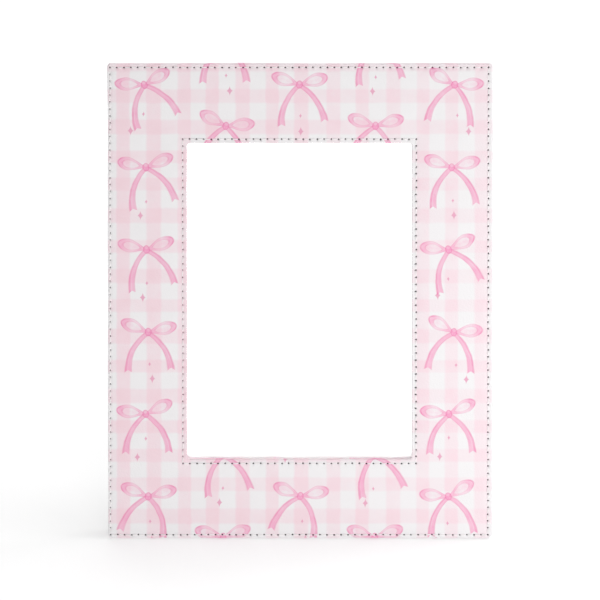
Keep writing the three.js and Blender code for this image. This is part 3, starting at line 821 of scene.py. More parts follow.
@dataclass(frozen=True)
class Axes:
    """A set of axes in the model's frame: x to the viewer's right, up along a board, and back behind it."""

    origin: np.ndarray
    up: np.ndarray
    back: np.ndarray

    @classmethod
    def of_face(cls, joints: list[dict]) -> Axes:
        """Finds the front face's axes from the turn buttons, whose pivots stand evenly about its middle.

        Args:
            joints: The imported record's joints.

        Returns:
            The axes, from the middle of the face.
        """
        pivots = [joint for joint in joints if joint["name"].endswith("_pivot")]
        back = np.array(pivots[0]["axis"], float)
        up = np.array([0.0, -back[2], back[1]])
        middle = np.mean([joint["pos_m"] for joint in pivots], axis=0)
        return cls(middle - back * PIVOT_DEPTH * MM, up, back)

    def about(self, origin: Sequence[float], opening: float = 0.0) -> Axes:
        """Gives the axes at another point, swung out about x by an angle in degrees.

        Args:
            origin: The point, in metres.
            opening: The angle.

        Returns:
            The axes there.
        """
        swing = math.radians(opening)
        up = self.up * math.cos(swing) - self.back * math.sin(swing)
        back = self.back * math.cos(swing) + self.up * math.sin(swing)
        return Axes(np.array(origin, float), up, back)

    def place(self, points: np.ndarray) -> np.ndarray:
        """Turns rows of x, up and depth in millimetres to metres in the model's frame."""
        ways = np.array([(1.0, 0.0, 0.0), self.up, self.back])
        return self.origin + np.asarray(points, float) * MM @ ways


def new_object(name: str, mesh: Mesh, finish: Finish) -> Object:
    """Links a mesh to the scene as an object with one finish.

    Args:
        name: The object's name.
        mesh: Its mesh.
        finish: Its material.

    Returns:
        The object.
    """
    mesh.materials.append(finish.material())
    made = bpy.data.objects.new(name, mesh)
    bpy.context.scene.collection.objects.link(made)
    return made


def shade(mesh: Mesh) -> None:
    """Turns a closed mesh's faces outwards, and shades it smooth apart from the edges that turn sharply.

    Args:
        mesh: The mesh.
    """
    shape = bmesh.new()
    shape.from_mesh(mesh)
    bmesh.ops.recalc_face_normals(shape, faces=shape.faces)
    for face in shape.faces:
        face.smooth = True
    for edge in shape.edges:
        edge.smooth = not (edge.is_manifold and edge.calc_face_angle() > EDGE_TURN)
    shape.to_mesh(mesh)
    shape.free()


def smooth_piece(name: str, points: np.ndarray, faces: Sequence[Sequence[int]], finish: Finish) -> Object:
    """Makes a smooth closed piece.

    Args:
        name: The piece's name.
        points: Its corners, in metres.
        faces: Its faces, as numbers of corners.
        finish: Its material.

    Returns:
        The piece.
    """
    mesh = bpy.data.meshes.new(name)
    mesh.from_pydata(points.tolist(), [], faces)
    shade(mesh)
    return new_object(name, mesh, finish)


def settle(piece: Object, body: str, node: str) -> Object:
    """Puts a piece on its body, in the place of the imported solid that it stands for.

    Args:
        piece: The piece.
        body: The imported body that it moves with.
        node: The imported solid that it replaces.

    Returns:
        The piece.
    """
    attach(piece, body)
    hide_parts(node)
    LOG.info("%s rides on %s and replaces %s", piece.name, body, node)
    return piece


def eased_piece(node: Object, ease: float, body: str, finish: Finish) -> Object:
    """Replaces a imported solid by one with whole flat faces, eased edges and smooth rounds.

    Args:
        node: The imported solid.
        ease: How wide its edges are eased.
        body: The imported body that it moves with.
        finish: Its material.

    Returns:
        The new piece.
    """
    name = node.name + "_finished"
    shape = bmesh.new()
    shape.from_mesh(node.data)
    bmesh.ops.remove_doubles(shape, verts=shape.verts, dist=MERGE_DISTANCE * MM)
    bmesh.ops.dissolve_limit(shape, angle_limit=FLAT_TURN, verts=shape.verts, edges=shape.edges)
    edges = [edge for edge in shape.edges if edge.is_manifold and edge.calc_face_angle() > EDGE_TURN]
    bmesh.ops.bevel(
        shape, geom=edges, offset=ease * MM, segments=3, profile=0.5, affect="EDGES", clamp_overlap=True
    )
    mesh = bpy.data.meshes.new(name)
    shape.to_mesh(mesh)
    shape.free()
    shade(mesh)
    piece = new_object(name, mesh, finish)
    piece.modifiers.new("Flat faces stay flat", "WEIGHTED_NORMAL").keep_sharp = True
    return settle(piece, body, node.name)


def tube_faces(rings: int, sides: int, closed: bool = False) -> list[tuple[int, ...]]:
    """Numbers the faces of rings of points joined into a tube.

    Args:
        rings: How many rings there are.
        sides: How many points each has.
        closed: Whether the last ring joins the first, and otherwise the ends are capped.

    Returns:
        The faces.
    """
    faces: list[tuple[int, ...]] = []
    for ring in range(rings if closed else rings - 1):
        near, far = ring * sides, (ring + 1) % rings * sides
        for side in range(sides):
            beside = (side + 1) % sides
            faces.append((near + side, near + beside, far + beside, far + side))
    if not closed:
        faces.append(tuple(range(sides)))
        faces.append(tuple(range((rings - 1) * sides, rings * sides)))
    return faces


@dataclass(frozen=True)
class Unevenness:
    """A slow, seeded wave along a line, for what hands and sewing machines leave uneven."""

    seed: int
    longest: float
    waves: int = 5
    shortest_share: float = 0.25
    fading: float = 0.3
    peak: float = 2.2

    def __call__(self, along: np.ndarray) -> np.ndarray:
        """Gives the wave, from about -1 to 1, at places along the line.

        Args:
            along: The places, in millimetres.

        Returns:
            The wave at each place.
        """
        draw = random.Random(self.seed)
        total = np.zeros_like(along, float)
        for wave in range(self.waves):
            turns = 2 * math.pi / (self.longest * draw.uniform(self.shortest_share, 1.0))
            total += np.sin(along * turns + draw.uniform(0, 2 * math.pi)) / (1 + self.fading * wave)
        return total / self.peak


class SheetLine(NamedTuple):
    """A line round the folded sheet: its inset and depth, its inset on the flat sheet, and its side."""

    inset: float
    depth: float
    flat_inset: float
    printed: bool


@dataclass
class StitchedCover:
    """The printed sheet, folded round its board at the outside and at the window, and its two sewn rows."""

    face: Axes
    width: float = 196.85
    height: float = 247.65
    border: float = 41.275
    thickness: float = 1.0
    panel_depth: float = 4.6
    front_round: float = 0.6
    back_round: float = 1.2
    window_back_round: float = 0.35
    inner_slopes: tuple[float, float] = (1.4, 1.7)
    outer_turn_in: float = 13.0
    window_turn_in: float = 5.5
    corner_radius: float = 2.0
    window_radius: float = 1.5
    window_radius_reach: float = 5.0
    least_radius: float = 0.04
    outer_seam: float = 1.7
    window_seam: float = 2.2
    seam_reach: float = 3.0
    stitch_pitch: float = 3.6
    stitch_slip: float = 0.16
    stitch_sway: float = 0.1
    valley_depth: float = 0.16
    valley_width: float = 1.1
    valley_change: float = 0.25
    hole_depth: float = 0.6
    hole_radius: float = 0.68
    left_hole_shade_cut: float = 0.34
    thread_radius: float = 0.27
    thread_entry: float = 0.46
    thread_slant: tuple[float, float] = (0.02, 0.16)
    thread_sag: float = 0.04
    thread_lift: float = 0.03
    thread_dip: float = 0.6
    thread_dip_share: float = 0.07
    thread_taper: float = 0.28
    thread_press: float = 0.86
    thread_sides: int = 10
    ply_relief: float = 0.16
    ply_twist: float = 5.0
    edge_sway: Unevenness = Unevenness(3, 160.0)
    window_sway: Unevenness = Unevenness(4, 120.0)
    edge_pull: Unevenness = Unevenness(5, 30.0)
    window_pull: Unevenness = Unevenness(6, 26.0)
    wander: float = 0.16
    window_wander: float = 0.06
    wander_reach: float = 6.0
    sewn_left: float = 0.55
    window_draw: float = 0.8
    swell: float = 0.06
    swell_lengths: tuple[float, float] = (17.0, 21.0)
    swell_starts: tuple[float, float] = (0.6, 0.3)
    ripple: float = 0.03
    ripple_lengths: tuple[float, float] = (5.3, 7.1)
    column_gap: float = 0.09
    corner_steps: int = 7
    fold_steps: int = 6
    seed: int = 7

    def build(self) -> None:
        """Builds the sheet and its stitches, and puts them on the frame."""
        outer = self.needle_holes(self.outer_seam, self.seed)
        inner = self.needle_holes(self.border - self.window_seam, self.seed + 1)
        cover = settle(self.sheet(outer, inner), "frame", "front_cover")
        flat, area = self.flat_cut()
        for name, holes in (("outer_stitching", outer), ("inner_stitching", inner)):
            settle(self.stitches(name + "_thread", holes), "frame", name)

    def needle_holes(self, inset: float, seed: int) -> list[np.ndarray]:
        """Places one row's needle holes, side by side round the frame from the top left corner.

        Args:
            inset: The row's distance from the outside edge.
            seed: Starts the machine's small errors.

        Returns:
            Each side's holes, as rows of x and up, from its first corner to just before its last.
        """
        draw = random.Random(seed)
        across, up = self.width / 2 - inset, self.height / 2 - inset
        corners = np.array([(-across, up), (across, up), (across, -up), (-across, -up)])
        corners[:, 0] -= self.aside(inset, np.sign(corners[:, 0]))
        sides = []
        for side, corner in enumerate(corners):
            reach = corners[(side + 1) % 4] - corner
            length = np.abs(reach).sum()
            stitches = round(float(length) / self.stitch_pitch)
            along = reach / length
            out = np.array([-along[1], along[0]])
            holes = [corner]
            for hole in range(1, stitches):
                slip = draw.uniform(-self.stitch_slip, self.stitch_slip)
                sway = draw.uniform(-self.stitch_sway, self.stitch_sway)
                holes.append(corner + reach * hole / stitches + along * slip + out * sway)
            sides.append(np.array(holes))
        return sides

    def aside(self, inset: float, across: np.ndarray) -> np.ndarray:
        """Gives how far to the left the sheet was sewn.

        The outer row lies to the left as a whole, and the inner one draws back the window's left fold.

        Args:
            inset: The distance from the outside edge.
            across: The places' shares of the half width, from -1 at the left to 1.

        Returns:
            The way to the left at each place.
        """
        share = inset / self.border
        return self.sewn_left * (1 - share) + self.window_draw * share * (1 - across) / 2

    def columns(self, rows: Sequence[list[np.ndarray]]) -> np.ndarray:
        """Places the mesh's columns round the frame, close together at the needle holes of both rows.

        Args:
            rows: The needle holes of the two rows.

        Returns:
            Each column's share of the half width and half height, and its way out at a round corner.
        """
        corners = [(-1.0, 1.0), (1.0, 1.0), (1.0, -1.0), (-1.0, -1.0)]
        spread = [share * self.hole_radius for share in (-1.0, -0.36, 0.36, 1.0)]
        table = []
        for side in range(4):
            after = (side + 1) % 4
            start, end = np.array(corners[side]), np.array(corners[after])
            axis = side % 2
            shares = [0.0, 1.0]
            for row in rows:
                first, last = row[side][0][axis], row[after][0][axis]
                for hole in [*row[side], row[after][0]]:
                    places = [(hole[axis] - first + step) / (last - first) for step in spread]
                    shares += [place for place in places if 0 < place < 1]
            shares.sort()
            length = (self.width, self.height)[axis]
            kept = [shares[0]]
            for share in shares[1:]:
                if share == 1.0 or (share - kept[-1]) * length > self.column_gap:
                    kept.append(share)
            out = (0.0, corners[side][1]) if axis == 0 else (corners[side][0], 0.0)
            table += [(*(start + (end - start) * share), *out) for share in kept]
            bend = math.atan2(out[1], out[0])
            for step in range(1, self.corner_steps):
                turn = bend - math.pi / 2 * step / self.corner_steps
                table.append((*end, math.cos(turn), math.sin(turn)))
        return np.array(table)

    def line_round(self, columns: np.ndarray, inset: float) -> np.ndarray:
        """Draws one closed line round the border, with corners that are round at the outside and the window.

        Args:
            columns: The columns' table.
            inset: The line's distance from the outside edge.

        Returns:
            The line's points, as rows of x and up.
        """
        outside = self.corner_radius - max(inset, 0.0)
        window = self.window_radius * (1 - (self.border - inset) / self.window_radius_reach)
        radius = max(self.least_radius, outside, window)
        half = np.array([self.width / 2 - inset, self.height / 2 - inset])
        return columns[:, :2] * (half - radius) + columns[:, 2:] * radius

    def section(self) -> list[SheetLine]:
        """Draws the folded sheet's section, from the outside fold's end by the front to the window's.

        Returns:
            The printed side's lines, and then those of its back.
        """
        back, front, wall = self.panel_depth, self.front_round, self.thickness
        quarter = [step / self.fold_steps * math.pi / 2 for step in range(self.fold_steps + 1)]
        beside_seam = (-0.38, -0.25, -0.12, 0.0, 0.12, 0.25, 0.42, 0.75)
        between_seams = (2.2, 5.5, 11.0, 18.0, 25.0, 31.0, 34.6)

        def fold(turn_in: float, turned: float, seam: float) -> list[tuple[float, float]]:
            """Draws the sheet from a fold's end round to the face.

            Args:
                turn_in: How wide the fold is.
                turned: Its radius at the back.
                seam: The sewn row's distance from the fold.

            Returns:
                Rows of inset and depth.
            """
            line = [(turn_in, back), (0.45 * turn_in, back)]
            line += [(turned * (1 - math.sin(t)), back - turned * (1 - math.cos(t))) for t in quarter[::2]]
            line += [(front * (1 - math.cos(t)), front * (1 - math.sin(t))) for t in quarter]
            return line + [(seam + step, 0.0) for step in beside_seam]

        near = fold(self.outer_turn_in, self.back_round, self.outer_seam)
        at_window = fold(self.window_turn_in, self.window_back_round, self.window_seam)
        far = [(self.border - inset, depth) for inset, depth in reversed(at_window)]
        path = near + [(self.outer_seam + step, 0.0) for step in between_seams] + far
        # On the flat sheet, the folds run on from the face in both directions.
        steps = [math.dist(a, b) for a, b in zip(path, path[1:])]
        places = np.concatenate([[0.0], np.cumsum(steps)])
        places += self.outer_seam - places[near.index((self.outer_seam, 0.0))]
        lines = [SheetLine(*point, float(place), True) for point, place in zip(path, places)]
        # The sheet's back follows the folds inside them, with a short slope at each turn.
        at_front, at_back = self.inner_slopes
        inside = [(at_front, wall), (wall, at_front), (wall, back - at_back), (at_back, back - wall)]
        for inset, depth in [(self.window_turn_in, back - wall), *reversed(inside)]:
            lines.append(SheetLine(self.border - inset, depth, self.border - inset, False))
        for inset, depth in [*inside, (self.outer_turn_in, back - wall)]:
            lines.append(SheetLine(inset, depth, inset, False))
        return lines

    def flat_cut(self) -> tuple[tuple[float, float], float]:
        """Measures the sheet as it was cut, flat, with its corners cut for folding.

        Returns:
            Its width and length, and its area without the window, in metres.
        """
        insets = [line.flat_inset for line in self.section() if line.printed]
        first, last = insets[0], insets[-1]
        width, height = (self.width - 2 * first) * MM, (self.height - 2 * first) * MM
        window = (self.width - 2 * last) * (self.height - 2 * last) * MM**2
        cut_corners = 4 * (first * MM) ** 2
        cut_corners -= 4 * ((last - self.border) * MM) ** 2
        return (width, height), width * height - window - cut_corners

    def sheet(self, outer: list[np.ndarray], inner: list[np.ndarray]) -> Object:
        """Builds the folded sheet, drawn down along its seams and pricked at every needle hole.

        Args:
            outer: The outer row's needle holes.
            inner: The inner row's needle holes.

        Returns:
            The piece.
        """
        columns = self.columns((outer, inner))
        count = len(columns)
        middle = self.line_round(columns, self.border / 2)
        steps = np.linalg.norm(np.diff(middle, axis=0, append=middle[:1]), axis=1)
        along = np.concatenate([[0.0], np.cumsum(steps)[:-1]])
        sway_out, sway_in = self.edge_sway(along), self.window_sway(along)
        # The side that the frame stands on wanders only inwards.
        sway_out -= np.maximum(-columns[:, 3], 0) * np.maximum(sway_out, 0)
        pulls = (self.edge_pull(along), self.window_pull(along))
        rows = (np.concatenate(outer), np.concatenate(inner))
        # The painted shade in the needle holes is a third weaker on the left side.
        hole_shade_share = 1 - self.left_hole_shade_cut * np.maximum(-columns[:, 2], 0)
        points, flats, holes = [], [], []
        for inset, depth, flat_inset, printed in self.section():
            from_window = self.border - inset
            line, flat = self.line_round(columns, inset), self.line_round(columns, flat_inset)
            near_edge = max(0.0, 1 - inset / self.wander_reach)
            near_window = max(0.0, 1 - from_window / self.wander_reach)
            shift = near_edge * self.wander * sway_out - near_window * self.window_wander * sway_in
            line = line + columns[:, 2:] * shift[:, None]
            facing = max(0.0, 1 - depth / self.front_round) if printed else 0.0
            if printed:
                # The outside edge stays where it is, and the window's fold goes with its row.
                at_fold = max(0.0, 1 - from_window / self.window_seam)
                held = max(at_fold, facing * min(1.0, inset / self.outer_seam))
                aside = held * self.aside(inset, columns[:, 0])
                line[:, 0] -= aside
                flat[:, 0] -= aside
            offsets = (inset - self.outer_seam, from_window - self.window_seam)
            sunk, pricked = self.drawn_down(line, offsets, pulls, rows)
            points.append(np.column_stack([line, depth + facing * sunk]))
            flats.append(np.column_stack([flat, np.zeros(count)]))
            holes.append(facing * hole_shade_share * pricked)
        place = self.face.place(np.concatenate(points))
        cover = smooth_piece("leatherette_cover", place, tube_faces(len(points), count, True), LEATHERETTE)
        on_sheet = cover.data.attributes.new(SHEET_PLACE, "FLOAT_VECTOR", "POINT")
        on_sheet.data.foreach_set("vector", np.concatenate(flats).astype(np.float32).ravel())
        # The material paints the needle holes' shade from this attribute.
        hole = cover.data.attributes.new(NEEDLE_HOLE, "FLOAT", "POINT")
        hole.data.foreach_set("value", np.concatenate(holes).astype(np.float32))
        return cover

    def drawn_down(
        self,
        line: np.ndarray,
        offsets: tuple[float, float],
        pulls: tuple[np.ndarray, np.ndarray],
        rows: tuple[np.ndarray, np.ndarray],
    ) -> tuple[np.ndarray, np.ndarray]:
        """Sinks a line of the face into the seams and their needle holes, and lets it swell a little.

        Args:
            line: The line's points, as rows of x and up.
            offsets: The line's distance from each sewn row.
            pulls: How tight each row was pulled, from about -1 to 1, along the line.
            rows: Each row's needle holes.

        Returns:
            How deep each point sinks, and how far into a needle hole it lies, up to one.
        """
        slow_x, slow_up = (line / self.swell_lengths + self.swell_starts).T
        sunk = self.swell * np.sin(slow_x) * np.cos(slow_up)
        sunk += self.ripple * np.sin((line / self.ripple_lengths).sum(axis=1))
        pricked = np.zeros(len(line))
        for offset, pull, row in zip(offsets, pulls, rows, strict=True):
            if abs(offset) > self.seam_reach:
                continue
            tight = self.valley_depth * (1 + self.valley_change * pull)
            gap = np.linalg.norm(line[:, None] - row[None], axis=2).min(axis=1)
            pit = np.maximum(0, 1 - (gap / self.hole_radius) ** 2) ** 2
            sunk += tight * math.exp(-((offset / self.valley_width) ** 2)) + self.hole_depth * pit
            pricked = np.maximum(pricked, pit)
        return sunk, pricked

    def stitches(self, name: str, holes: list[np.ndarray]) -> Object:
        """Lays a twisted stitch from each needle hole to the next.

        Args:
            name: The piece's name.
            holes: One row's needle holes, side by side.

        Returns:
            The piece.
        """
        draw = random.Random(self.seed + len(name))
        row = np.concatenate(holes)
        # The rings lie close together where the thread dives into its holes.
        diving = (0.0, 0.03, 0.08, 0.15, 0.25, 0.37)
        shares = np.array([*diving, 0.5, *(1 - share for share in reversed(diving))])
        rings, sides = len(shares), self.thread_sides
        dip = np.exp(-shares / self.thread_dip_share) + np.exp((shares - 1) / self.thread_dip_share)
        arch = np.sin(shares * math.pi)
        radii = self.thread_radius * (1 - self.thread_taper + self.thread_taper * arch**0.4)
        turn = np.linspace(0, 2 * math.pi, sides, endpoint=False)
        points, faces = [], []
        for number, (start, end) in enumerate(zip(row, np.roll(row, -1, axis=0))):
            along = (end - start) / np.linalg.norm(end - start)
            out = np.array([-along[1], along[0]])
            start, end = start + along * self.thread_entry, end - along * self.thread_entry
            slant = draw.uniform(*self.thread_slant)
            sag = draw.uniform(-self.thread_sag, self.thread_sag)
            lie = slant * (1 - 2 * shares) * arch**0.5 + sag * arch
            line = start + shares[:, None] * (end - start) + lie[:, None] * out
            lift = draw.uniform(-self.thread_lift, self.thread_lift)
            depth = self.thread_lift + lift + self.thread_dip * dip
            twist = draw.uniform(0, math.pi)
            for ring in range(rings):
                ply = 1 + self.ply_relief * np.cos(2 * (turn - twist - self.ply_twist * shares[ring]))
                across, down = radii[ring] * ply * np.cos(turn), radii[ring] * ply * np.sin(turn)
                flat = line[ring] + across[:, None] * out
                points.append(np.column_stack([flat, depth[ring] + self.thread_press * down]))
            first = number * rings * sides
            faces += [tuple(first + corner for corner in face) for face in tube_faces(rings, sides)]
        return smooth_piece(name, self.face.place(np.concatenate(points)), faces, THREAD)


@dataclass
class GlazedWindow:
    """What the rabbet holds: the pane, the plain white sheet, and the card and board behind them."""

    nodes: dict[str, Object]

    def build(self) -> None:
        """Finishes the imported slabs, which have the right shape already."""
        finishes = {
            "glass_pane": GLASS,
            "photo_insert": PAPER,
            "filler_card": CHIPBOARD,
            "stiffener_board": CHIPBOARD,
        }
        for name, finish in finishes.items():
            mesh = self.nodes[name].data
            mesh.materials.clear()
            mesh.materials.append(finish.material())
            LOG.info("%s is finished in %s", name, finish.name)


@dataclass
class EaselBack:
    """The rails, the back board and the easel leg, with their velour linings and the stay ribbon."""

    nodes: dict[str, Object]
    hinge: Axes
    leg: Axes
    rail_ease: float = 0.45
    board_ease: float = 0.3
    leg_ease: float = 0.6
    lining_ease: float = 0.15
    lining_size: tuple[float, float] = (190.25, 241.05)
    lining_window: tuple[float, float] = (127.8, 178.6)
    print_size: tuple[float, float] = (127.0, 177.8)
    ribbon_width: float = 10.0
    ribbon_thickness: float = 0.36
    ribbon_tail: float = 14.0
    ribbon_drop: float = 106.0
    ribbon_on_board: float = -2.58
    ribbon_on_leg: float = -1.32
    lining_back: float = -2.8
    bend_radius: float = 1.6
    folded_share: float = 0.03

    def build(self) -> None:
        """Builds the boards, the linings and the ribbon, and puts each on its body."""
        for side in RAIL_SIDES:
            eased_piece(self.nodes["rail_" + side], self.rail_ease, "frame", BLACK_MDF)
        eased_piece(self.nodes["back_board"], self.board_ease, "frame", BLACK_MDF)
        eased_piece(self.nodes["easel_leg"], self.leg_ease, "easel_leg", VELOUR)
        self.linings()
        self.ribbon()

    def linings(self) -> None:
        """Lays the velour sheets on the rails and on the back board."""
        lining = eased_piece(self.nodes["frame_lining"], self.lining_ease, "frame", VELOUR)
        lining = eased_piece(self.nodes["board_lining"], self.lining_ease, "frame", VELOUR)

    def ribbon_line(self) -> np.ndarray:
        """Draws the ribbon's side view with round bends.

        Returns:
            Rows of up and depth from the hinge pin.
        """
        swing = math.atan2(np.dot(self.leg.back, self.hinge.up), np.dot(self.leg.back, self.hinge.back))
        up_leg = np.array([math.cos(swing), -math.sin(swing)])
        behind_leg = np.array([math.sin(swing), math.cos(swing)])
        top = self.ribbon_tail - self.ribbon_drop
        corners = [np.array([up, self.ribbon_on_board]) for up in (top, -self.ribbon_drop)]
        corners += [up * up_leg + self.ribbon_on_leg * behind_leg for up in (-self.ribbon_drop, top)]
        on_board, span, on_leg = np.diff(corners, axis=0)
        line = [corners[0] + on_board * share for share in np.linspace(0, 0.8, 6)]
        line += self.bend(*corners[:3])
        line += [corners[1] + span * share for share in np.linspace(0.1, 0.9, 13)]
        line += self.bend(*corners[1:])
        line += [corners[2] + on_leg * share for share in np.linspace(0.25, 1, 6)]
        return np.array(line)

    def bend(self, before: np.ndarray, corner: np.ndarray, after: np.ndarray) -> list[np.ndarray]:
        """Rounds a corner of the ribbon's line.

        Args:
            before: The corner before it.
            corner: The corner.
            after: The corner after it.

        Returns:
            The points of the round bend.
        """
        way_in = (before - corner) / np.linalg.norm(before - corner) * self.bend_radius
        way_out = (after - corner) / np.linalg.norm(after - corner) * self.bend_radius
        return [corner + way_in * (1 - share) ** 2 + way_out * share**2 for share in np.linspace(0, 1, 9)]

    def ribbon(self) -> None:
        """Weaves the ribbon: a thin strip with firmer edges, glued to the lining and to the leg."""
        line = self.ribbon_line()
        ways = np.gradient(line, axis=0)
        normals = np.column_stack([-ways[:, 1], ways[:, 0]])
        normals /= np.linalg.norm(normals, axis=1)[:, None]
        across = self.ribbon_width / 2 * np.array([-1, -0.94, -0.86, -0.5, 0, 0.5, 0.86, 0.94, 1])
        thick = self.ribbon_thickness / 2 * np.array([0.8, 1.0, 0.72, 0.7, 0.7, 0.7, 0.72, 1.0, 0.8])
        section_x = np.concatenate([across, across[::-1]])
        section_off = np.concatenate([thick, -thick[::-1]])
        points = []
        for place, normal in zip(line, normals):
            up, depth = (place[axis] + section_off * normal[axis] for axis in range(2))
            points.append(np.column_stack([section_x, up, depth]))
        faces = tube_faces(len(points), len(section_x))
        piece = smooth_piece("satin_ribbon", self.hinge.place(np.concatenate(points)), faces, SATIN)
        settle(piece, "frame", "stay_ribbon")
        anchor = self.hinge.place(np.array([[0.0, -self.ribbon_drop, self.lining_back]]))[0]
        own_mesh(piece)


@dataclass(frozen=True)
class Fastener:
    """A turned fastener's sizes: its shank's radius and length, and its head's radius and height."""

    shank: float
    length: float
    head: float
    rise: float


@dataclass
class Hardware:
    """The nickelled easel hinge, and the turn buttons with their slotted screws.

    The pin has a head at each end, and its length is half of what lies between them.
    """

    nodes: dict[str, Object]
    face: Axes
    hinge: Axes
    leg: Axes
    sides: int = 40
    dome_steps: int = 9
    leaf_ease: float = 0.12
    button_ease: float = 0.16
    seat: float = 0.26
    rivet: Fastener = Fastener(1.0, 3.6, 2.2, 0.9)
    rivet_spacing: float = 16.0
    board_rivet: tuple[float, float] = (11.0, -1.4)
    leg_rivet: tuple[float, float] = (-16.0, 2.8)
    screw: Fastener = Fastener(1.2, 7.2, 2.8, 1.4)
    screw_place: tuple[float, float, float] = (69.9, 50.0, 14.3)
    slot_width: float = 0.7
    slot_depth: float = 0.6
    slot_overrun: float = 1.0
    slot_turns: tuple[float, ...] = (24.0, -52.0, 71.0, -8.0)
    pin: Fastener = Fastener(1.5, 15.3, 2.1, 0.8)

    def build(self) -> None:
        """Builds each fitting and puts it on its body."""
        for node, body in (("hinge_leaf_board", "frame"), ("hinge_leaf_leg", "easel_leg")):
            eased_piece(self.nodes[node], self.leaf_ease, body, NICKEL)
        self.hinge_pin()
        ways = {"left": -1, "right": 1, "upper": 1, "lower": -1}
        for side in ("left", "right"):
            x = ways[side] * self.rivet_spacing / 2
            on_board, on_leg = (x, *self.board_rivet), (x, *self.leg_rivet)
            self.fastener("hinge_rivet_board_" + side, self.hinge, "frame", on_board, self.rivet)
            self.fastener("hinge_rivet_leg_" + side, self.leg, "easel_leg", on_leg, self.rivet)
        across, up, depth = self.screw_place
        corners = [(height, side) for height in ("upper", "lower") for side in ("left", "right")]
        for (height, side), turn in zip(corners, self.slot_turns, strict=True):
            button = f"turn_button_{height}_{side}"
            eased_piece(self.nodes[button], self.button_ease, button, NICKEL)
            at = (ways[side] * across, ways[height] * up, depth)
            self.fastener(f"button_screw_{height}_{side}", self.face, "frame", at, self.screw, turn)

    def turned(self, profile: Sequence[tuple[float, float]]) -> np.ndarray:
        """Turns a profile about its own axis.

        Args:
            profile: Rows of radius and place along the axis.

        Returns:
            Rings of points, as rows of two ways across the axis and one along it.
        """
        turn = np.linspace(0, 2 * math.pi, self.sides, endpoint=False)
        circle = np.column_stack([np.cos(turn), np.sin(turn), np.zeros(self.sides)])
        return np.concatenate([radius * circle + (0.0, 0.0, place) for radius, place in profile])

    def fastener(
        self,
        node: str,
        axes: Axes,
        body: str,
        at: tuple[float, float, float],
        sizes: Fastener,
        slot_turn: float | None = None,
    ) -> None:
        """Turns a domed fastener, seats its head, and cuts a driver's slot where it has one.

        Args:
            node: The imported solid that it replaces.
            axes: The axes that it stands on.
            body: The body that it moves with.
            at: Where its head sits.
            sizes: Its sizes.
            slot_turn: The slot's angle in degrees, or None for a plain head.
        """
        shank, head, length = sizes.shank, sizes.head, sizes.length
        profile = [(TURNED_TIP, -length), (shank, -length), (shank, -self.seat)]
        profile += [(head, -self.seat), (head, 0.0)]
        for step in range(1, self.dome_steps):
            turn = step / self.dome_steps * math.pi / 2
            profile.append((head * math.cos(turn), sizes.rise * math.sin(turn)))
        profile.append((TURNED_TIP, sizes.rise))
        points = axes.place(self.turned(profile) + np.array(at))
        piece = smooth_piece(node + "_finished", points, tube_faces(len(profile), self.sides), NICKEL)
        if slot_turn is not None:
            self.cut_slot(piece, axes, at, sizes, slot_turn)
        settle(piece, body, node)

    def cut_slot(
        self, piece: Object, axes: Axes, at: tuple[float, float, float], sizes: Fastener, turn: float
    ) -> None:
        """Cuts a straight slot across a domed head.

        Args:
            piece: The fastener.
            axes: The axes that it stands on.
            at: Where its head sits.
            sizes: Its sizes.
            turn: The slot's angle in degrees.
        """
        angle = math.radians(turn)
        along = np.array([math.cos(angle), math.sin(angle), 0.0]) * (sizes.head + self.slot_overrun)
        beside = np.array([-math.sin(angle), math.cos(angle), 0.0]) * self.slot_width / 2
        ring = np.array([-along - beside, along - beside, along + beside, -along + beside])
        levels = (sizes.rise - self.slot_depth, sizes.rise + self.slot_overrun)
        points = np.concatenate([ring + (0.0, 0.0, level) for level in levels]) + np.array(at)
        cutter = smooth_piece("slot_cutter", axes.place(points), tube_faces(2, len(ring)), NICKEL)
        modifier = piece.modifiers.new("Slot", "BOOLEAN")
        modifier.object = cutter
        modifier.operation = "DIFFERENCE"
        modifier.solver = "EXACT"
        graph = bpy.context.evaluated_depsgraph_get()
        slotted = bpy.data.meshes.new_from_object(piece.evaluated_get(graph))
        piece.modifiers.clear()
        piece.data = slotted
        shade(slotted)
        bpy.data.objects.remove(cutter)

    def hinge_pin(self) -> None:
        """Turns the hinge pin, with a rounded head at each end."""
        half, head, rise = self.pin.length, self.pin.head, self.pin.rise
        dome = ((0.6, 0.93), (0.9, 0.7), (1.0, 0.35), (1.0, 0.0))
        end = [(TURNED_TIP, half + rise)]
        end += [(across * head, half + up * rise) for across, up in dome]
        end.append((self.pin.shank, half))
        profile = end + [(radius, -place) for radius, place in reversed(end)]
        points = self.hinge.place(self.turned(profile)[:, [2, 0, 1]])
        piece = smooth_piece("hinge_pin_finished", points, tube_faces(len(profile), self.sides), NICKEL)
        settle(piece, "frame", "hinge_pin")


@dataclass(frozen=True)
class Softbox:
    """A square studio light with a diffuser, in metres and watts."""

    name: str
    size: float
    power: float
    place: tuple[float, float, float]
    aim: tuple[float, float, float]

    def hang(self) -> None:
        """Hangs the light and turns it to its aim."""
        data = bpy.data.lights.new(self.name, "AREA")
        data.shape = "SQUARE"
        data.size = self.size
        data.energy = self.power
        lamp = bpy.data.objects.new(self.name, data)
        lamp.location = self.place
        lamp.rotation_euler = (Vector(self.aim) - lamp.location).to_track_quat("-Z", "Y").to_euler()
        bpy.context.scene.collection.objects.link(lamp)


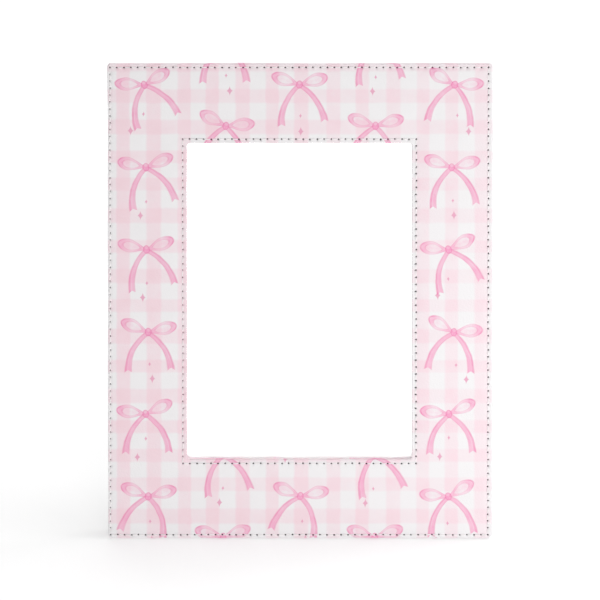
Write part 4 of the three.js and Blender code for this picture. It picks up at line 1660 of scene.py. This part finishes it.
@dataclass
class Studio:
    """The photograph's view: a long lens from above, a white floor, and soft light from the right.

    The picture's width at the frame, the camera's distance and its aim on the face are millimetres. The floor
    is in metres, and the elevation in degrees.
    """

    face: Axes
    picture_width: float = 307.2
    distance: float = 12000.0
    elevation: float = 23.6
    aim: tuple[float, float] = (-0.1, 0.85)
    floor_size: float = 6.0
    sky: float = 0.395
    lights: tuple[Softbox, ...] = (
        Softbox("Front card", 0.8, 8.7, (0.0, -1.6, 0.39), (0.0, 0.0, 0.12)),
        Softbox("Side softbox", 0.2, 0.42, (0.3, -0.3, 0.13), (0.05, -0.03, 0.12)),
        Softbox("Overhead softbox", 0.8, 11.0, (0.9, 0.3, 1.4), (0.0, 0.0, 0.0)),
        Softbox("Back softbox", 1.5, 14.0, (0.0, 1.2, 1.4), (0.0, 0.6, 0.0)),
    )

    def camera(self) -> None:
        """Sets the camera up."""
        target = self.face.place(np.array([[*self.aim, 0.0]]))[0]
        tilt = math.radians(self.elevation)
        away = np.array([0.0, -math.cos(tilt), math.sin(tilt)])
        data = bpy.data.cameras.new("Camera")
        data.lens = data.sensor_width * self.distance / self.picture_width
        camera = bpy.data.objects.new("Camera", data)
        camera.location = target + away * self.distance * MM
        camera.rotation_euler = (math.pi / 2 - tilt, 0.0, 0.0)
        bpy.context.scene.collection.objects.link(camera)
        bpy.context.scene.camera = camera

    def build(self) -> None:
        """Lays the floor and sets the lights."""
        half = self.floor_size / 2
        corners = [(-half, -half, 0.0), (half, -half, 0.0), (half, half, 0.0), (-half, half, 0.0)]
        mesh = bpy.data.meshes.new("studio_floor")
        mesh.from_pydata(corners, [], [(0, 1, 2, 3)])
        new_object("studio_floor", mesh, FLOOR)
        world = bpy.data.worlds.new("Soft white tent")
        world.use_nodes = True
        world.node_tree.nodes.clear()
        light = add(world.node_tree, "Background", {"Color": linear("#ffffff"), "Strength": self.sky})
        add(world.node_tree, "OutputWorld", {"Surface": light})
        bpy.context.scene.world = world
        for softbox in self.lights:
            softbox.hang()
        # Light that reaches the white sheet through the pane stays sharp, or the pane would swallow much.
        bpy.context.scene.cycles.blur_glossy = 0.0
        settings = bpy.context.scene.view_settings
        settings.view_transform = "Standard"
        settings.look = "None"


def main() -> None:
    """Loads the frame, and builds every sub-assembly in order."""
    logging.basicConfig(level=logging.INFO, format="%(name)s: %(message)s")
    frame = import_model()
    face = Axes.of_face(frame["joints"])
    pin = next(joint["pos_m"] for joint in frame["joints"] if joint["name"] == "easel_hinge")
    hinge, leg = face.about(pin), face.about(pin, LEG_OPENING)
    studio = Studio(face)
    studio.camera()
    StitchedCover(face).build()
    GlazedWindow(frame["nodes"]).build()
    EaselBack(frame["nodes"], hinge, leg).build()
    Hardware(frame["nodes"], face, hinge, leg).build()
    studio.build()


if __name__ == "__main__":
    main()
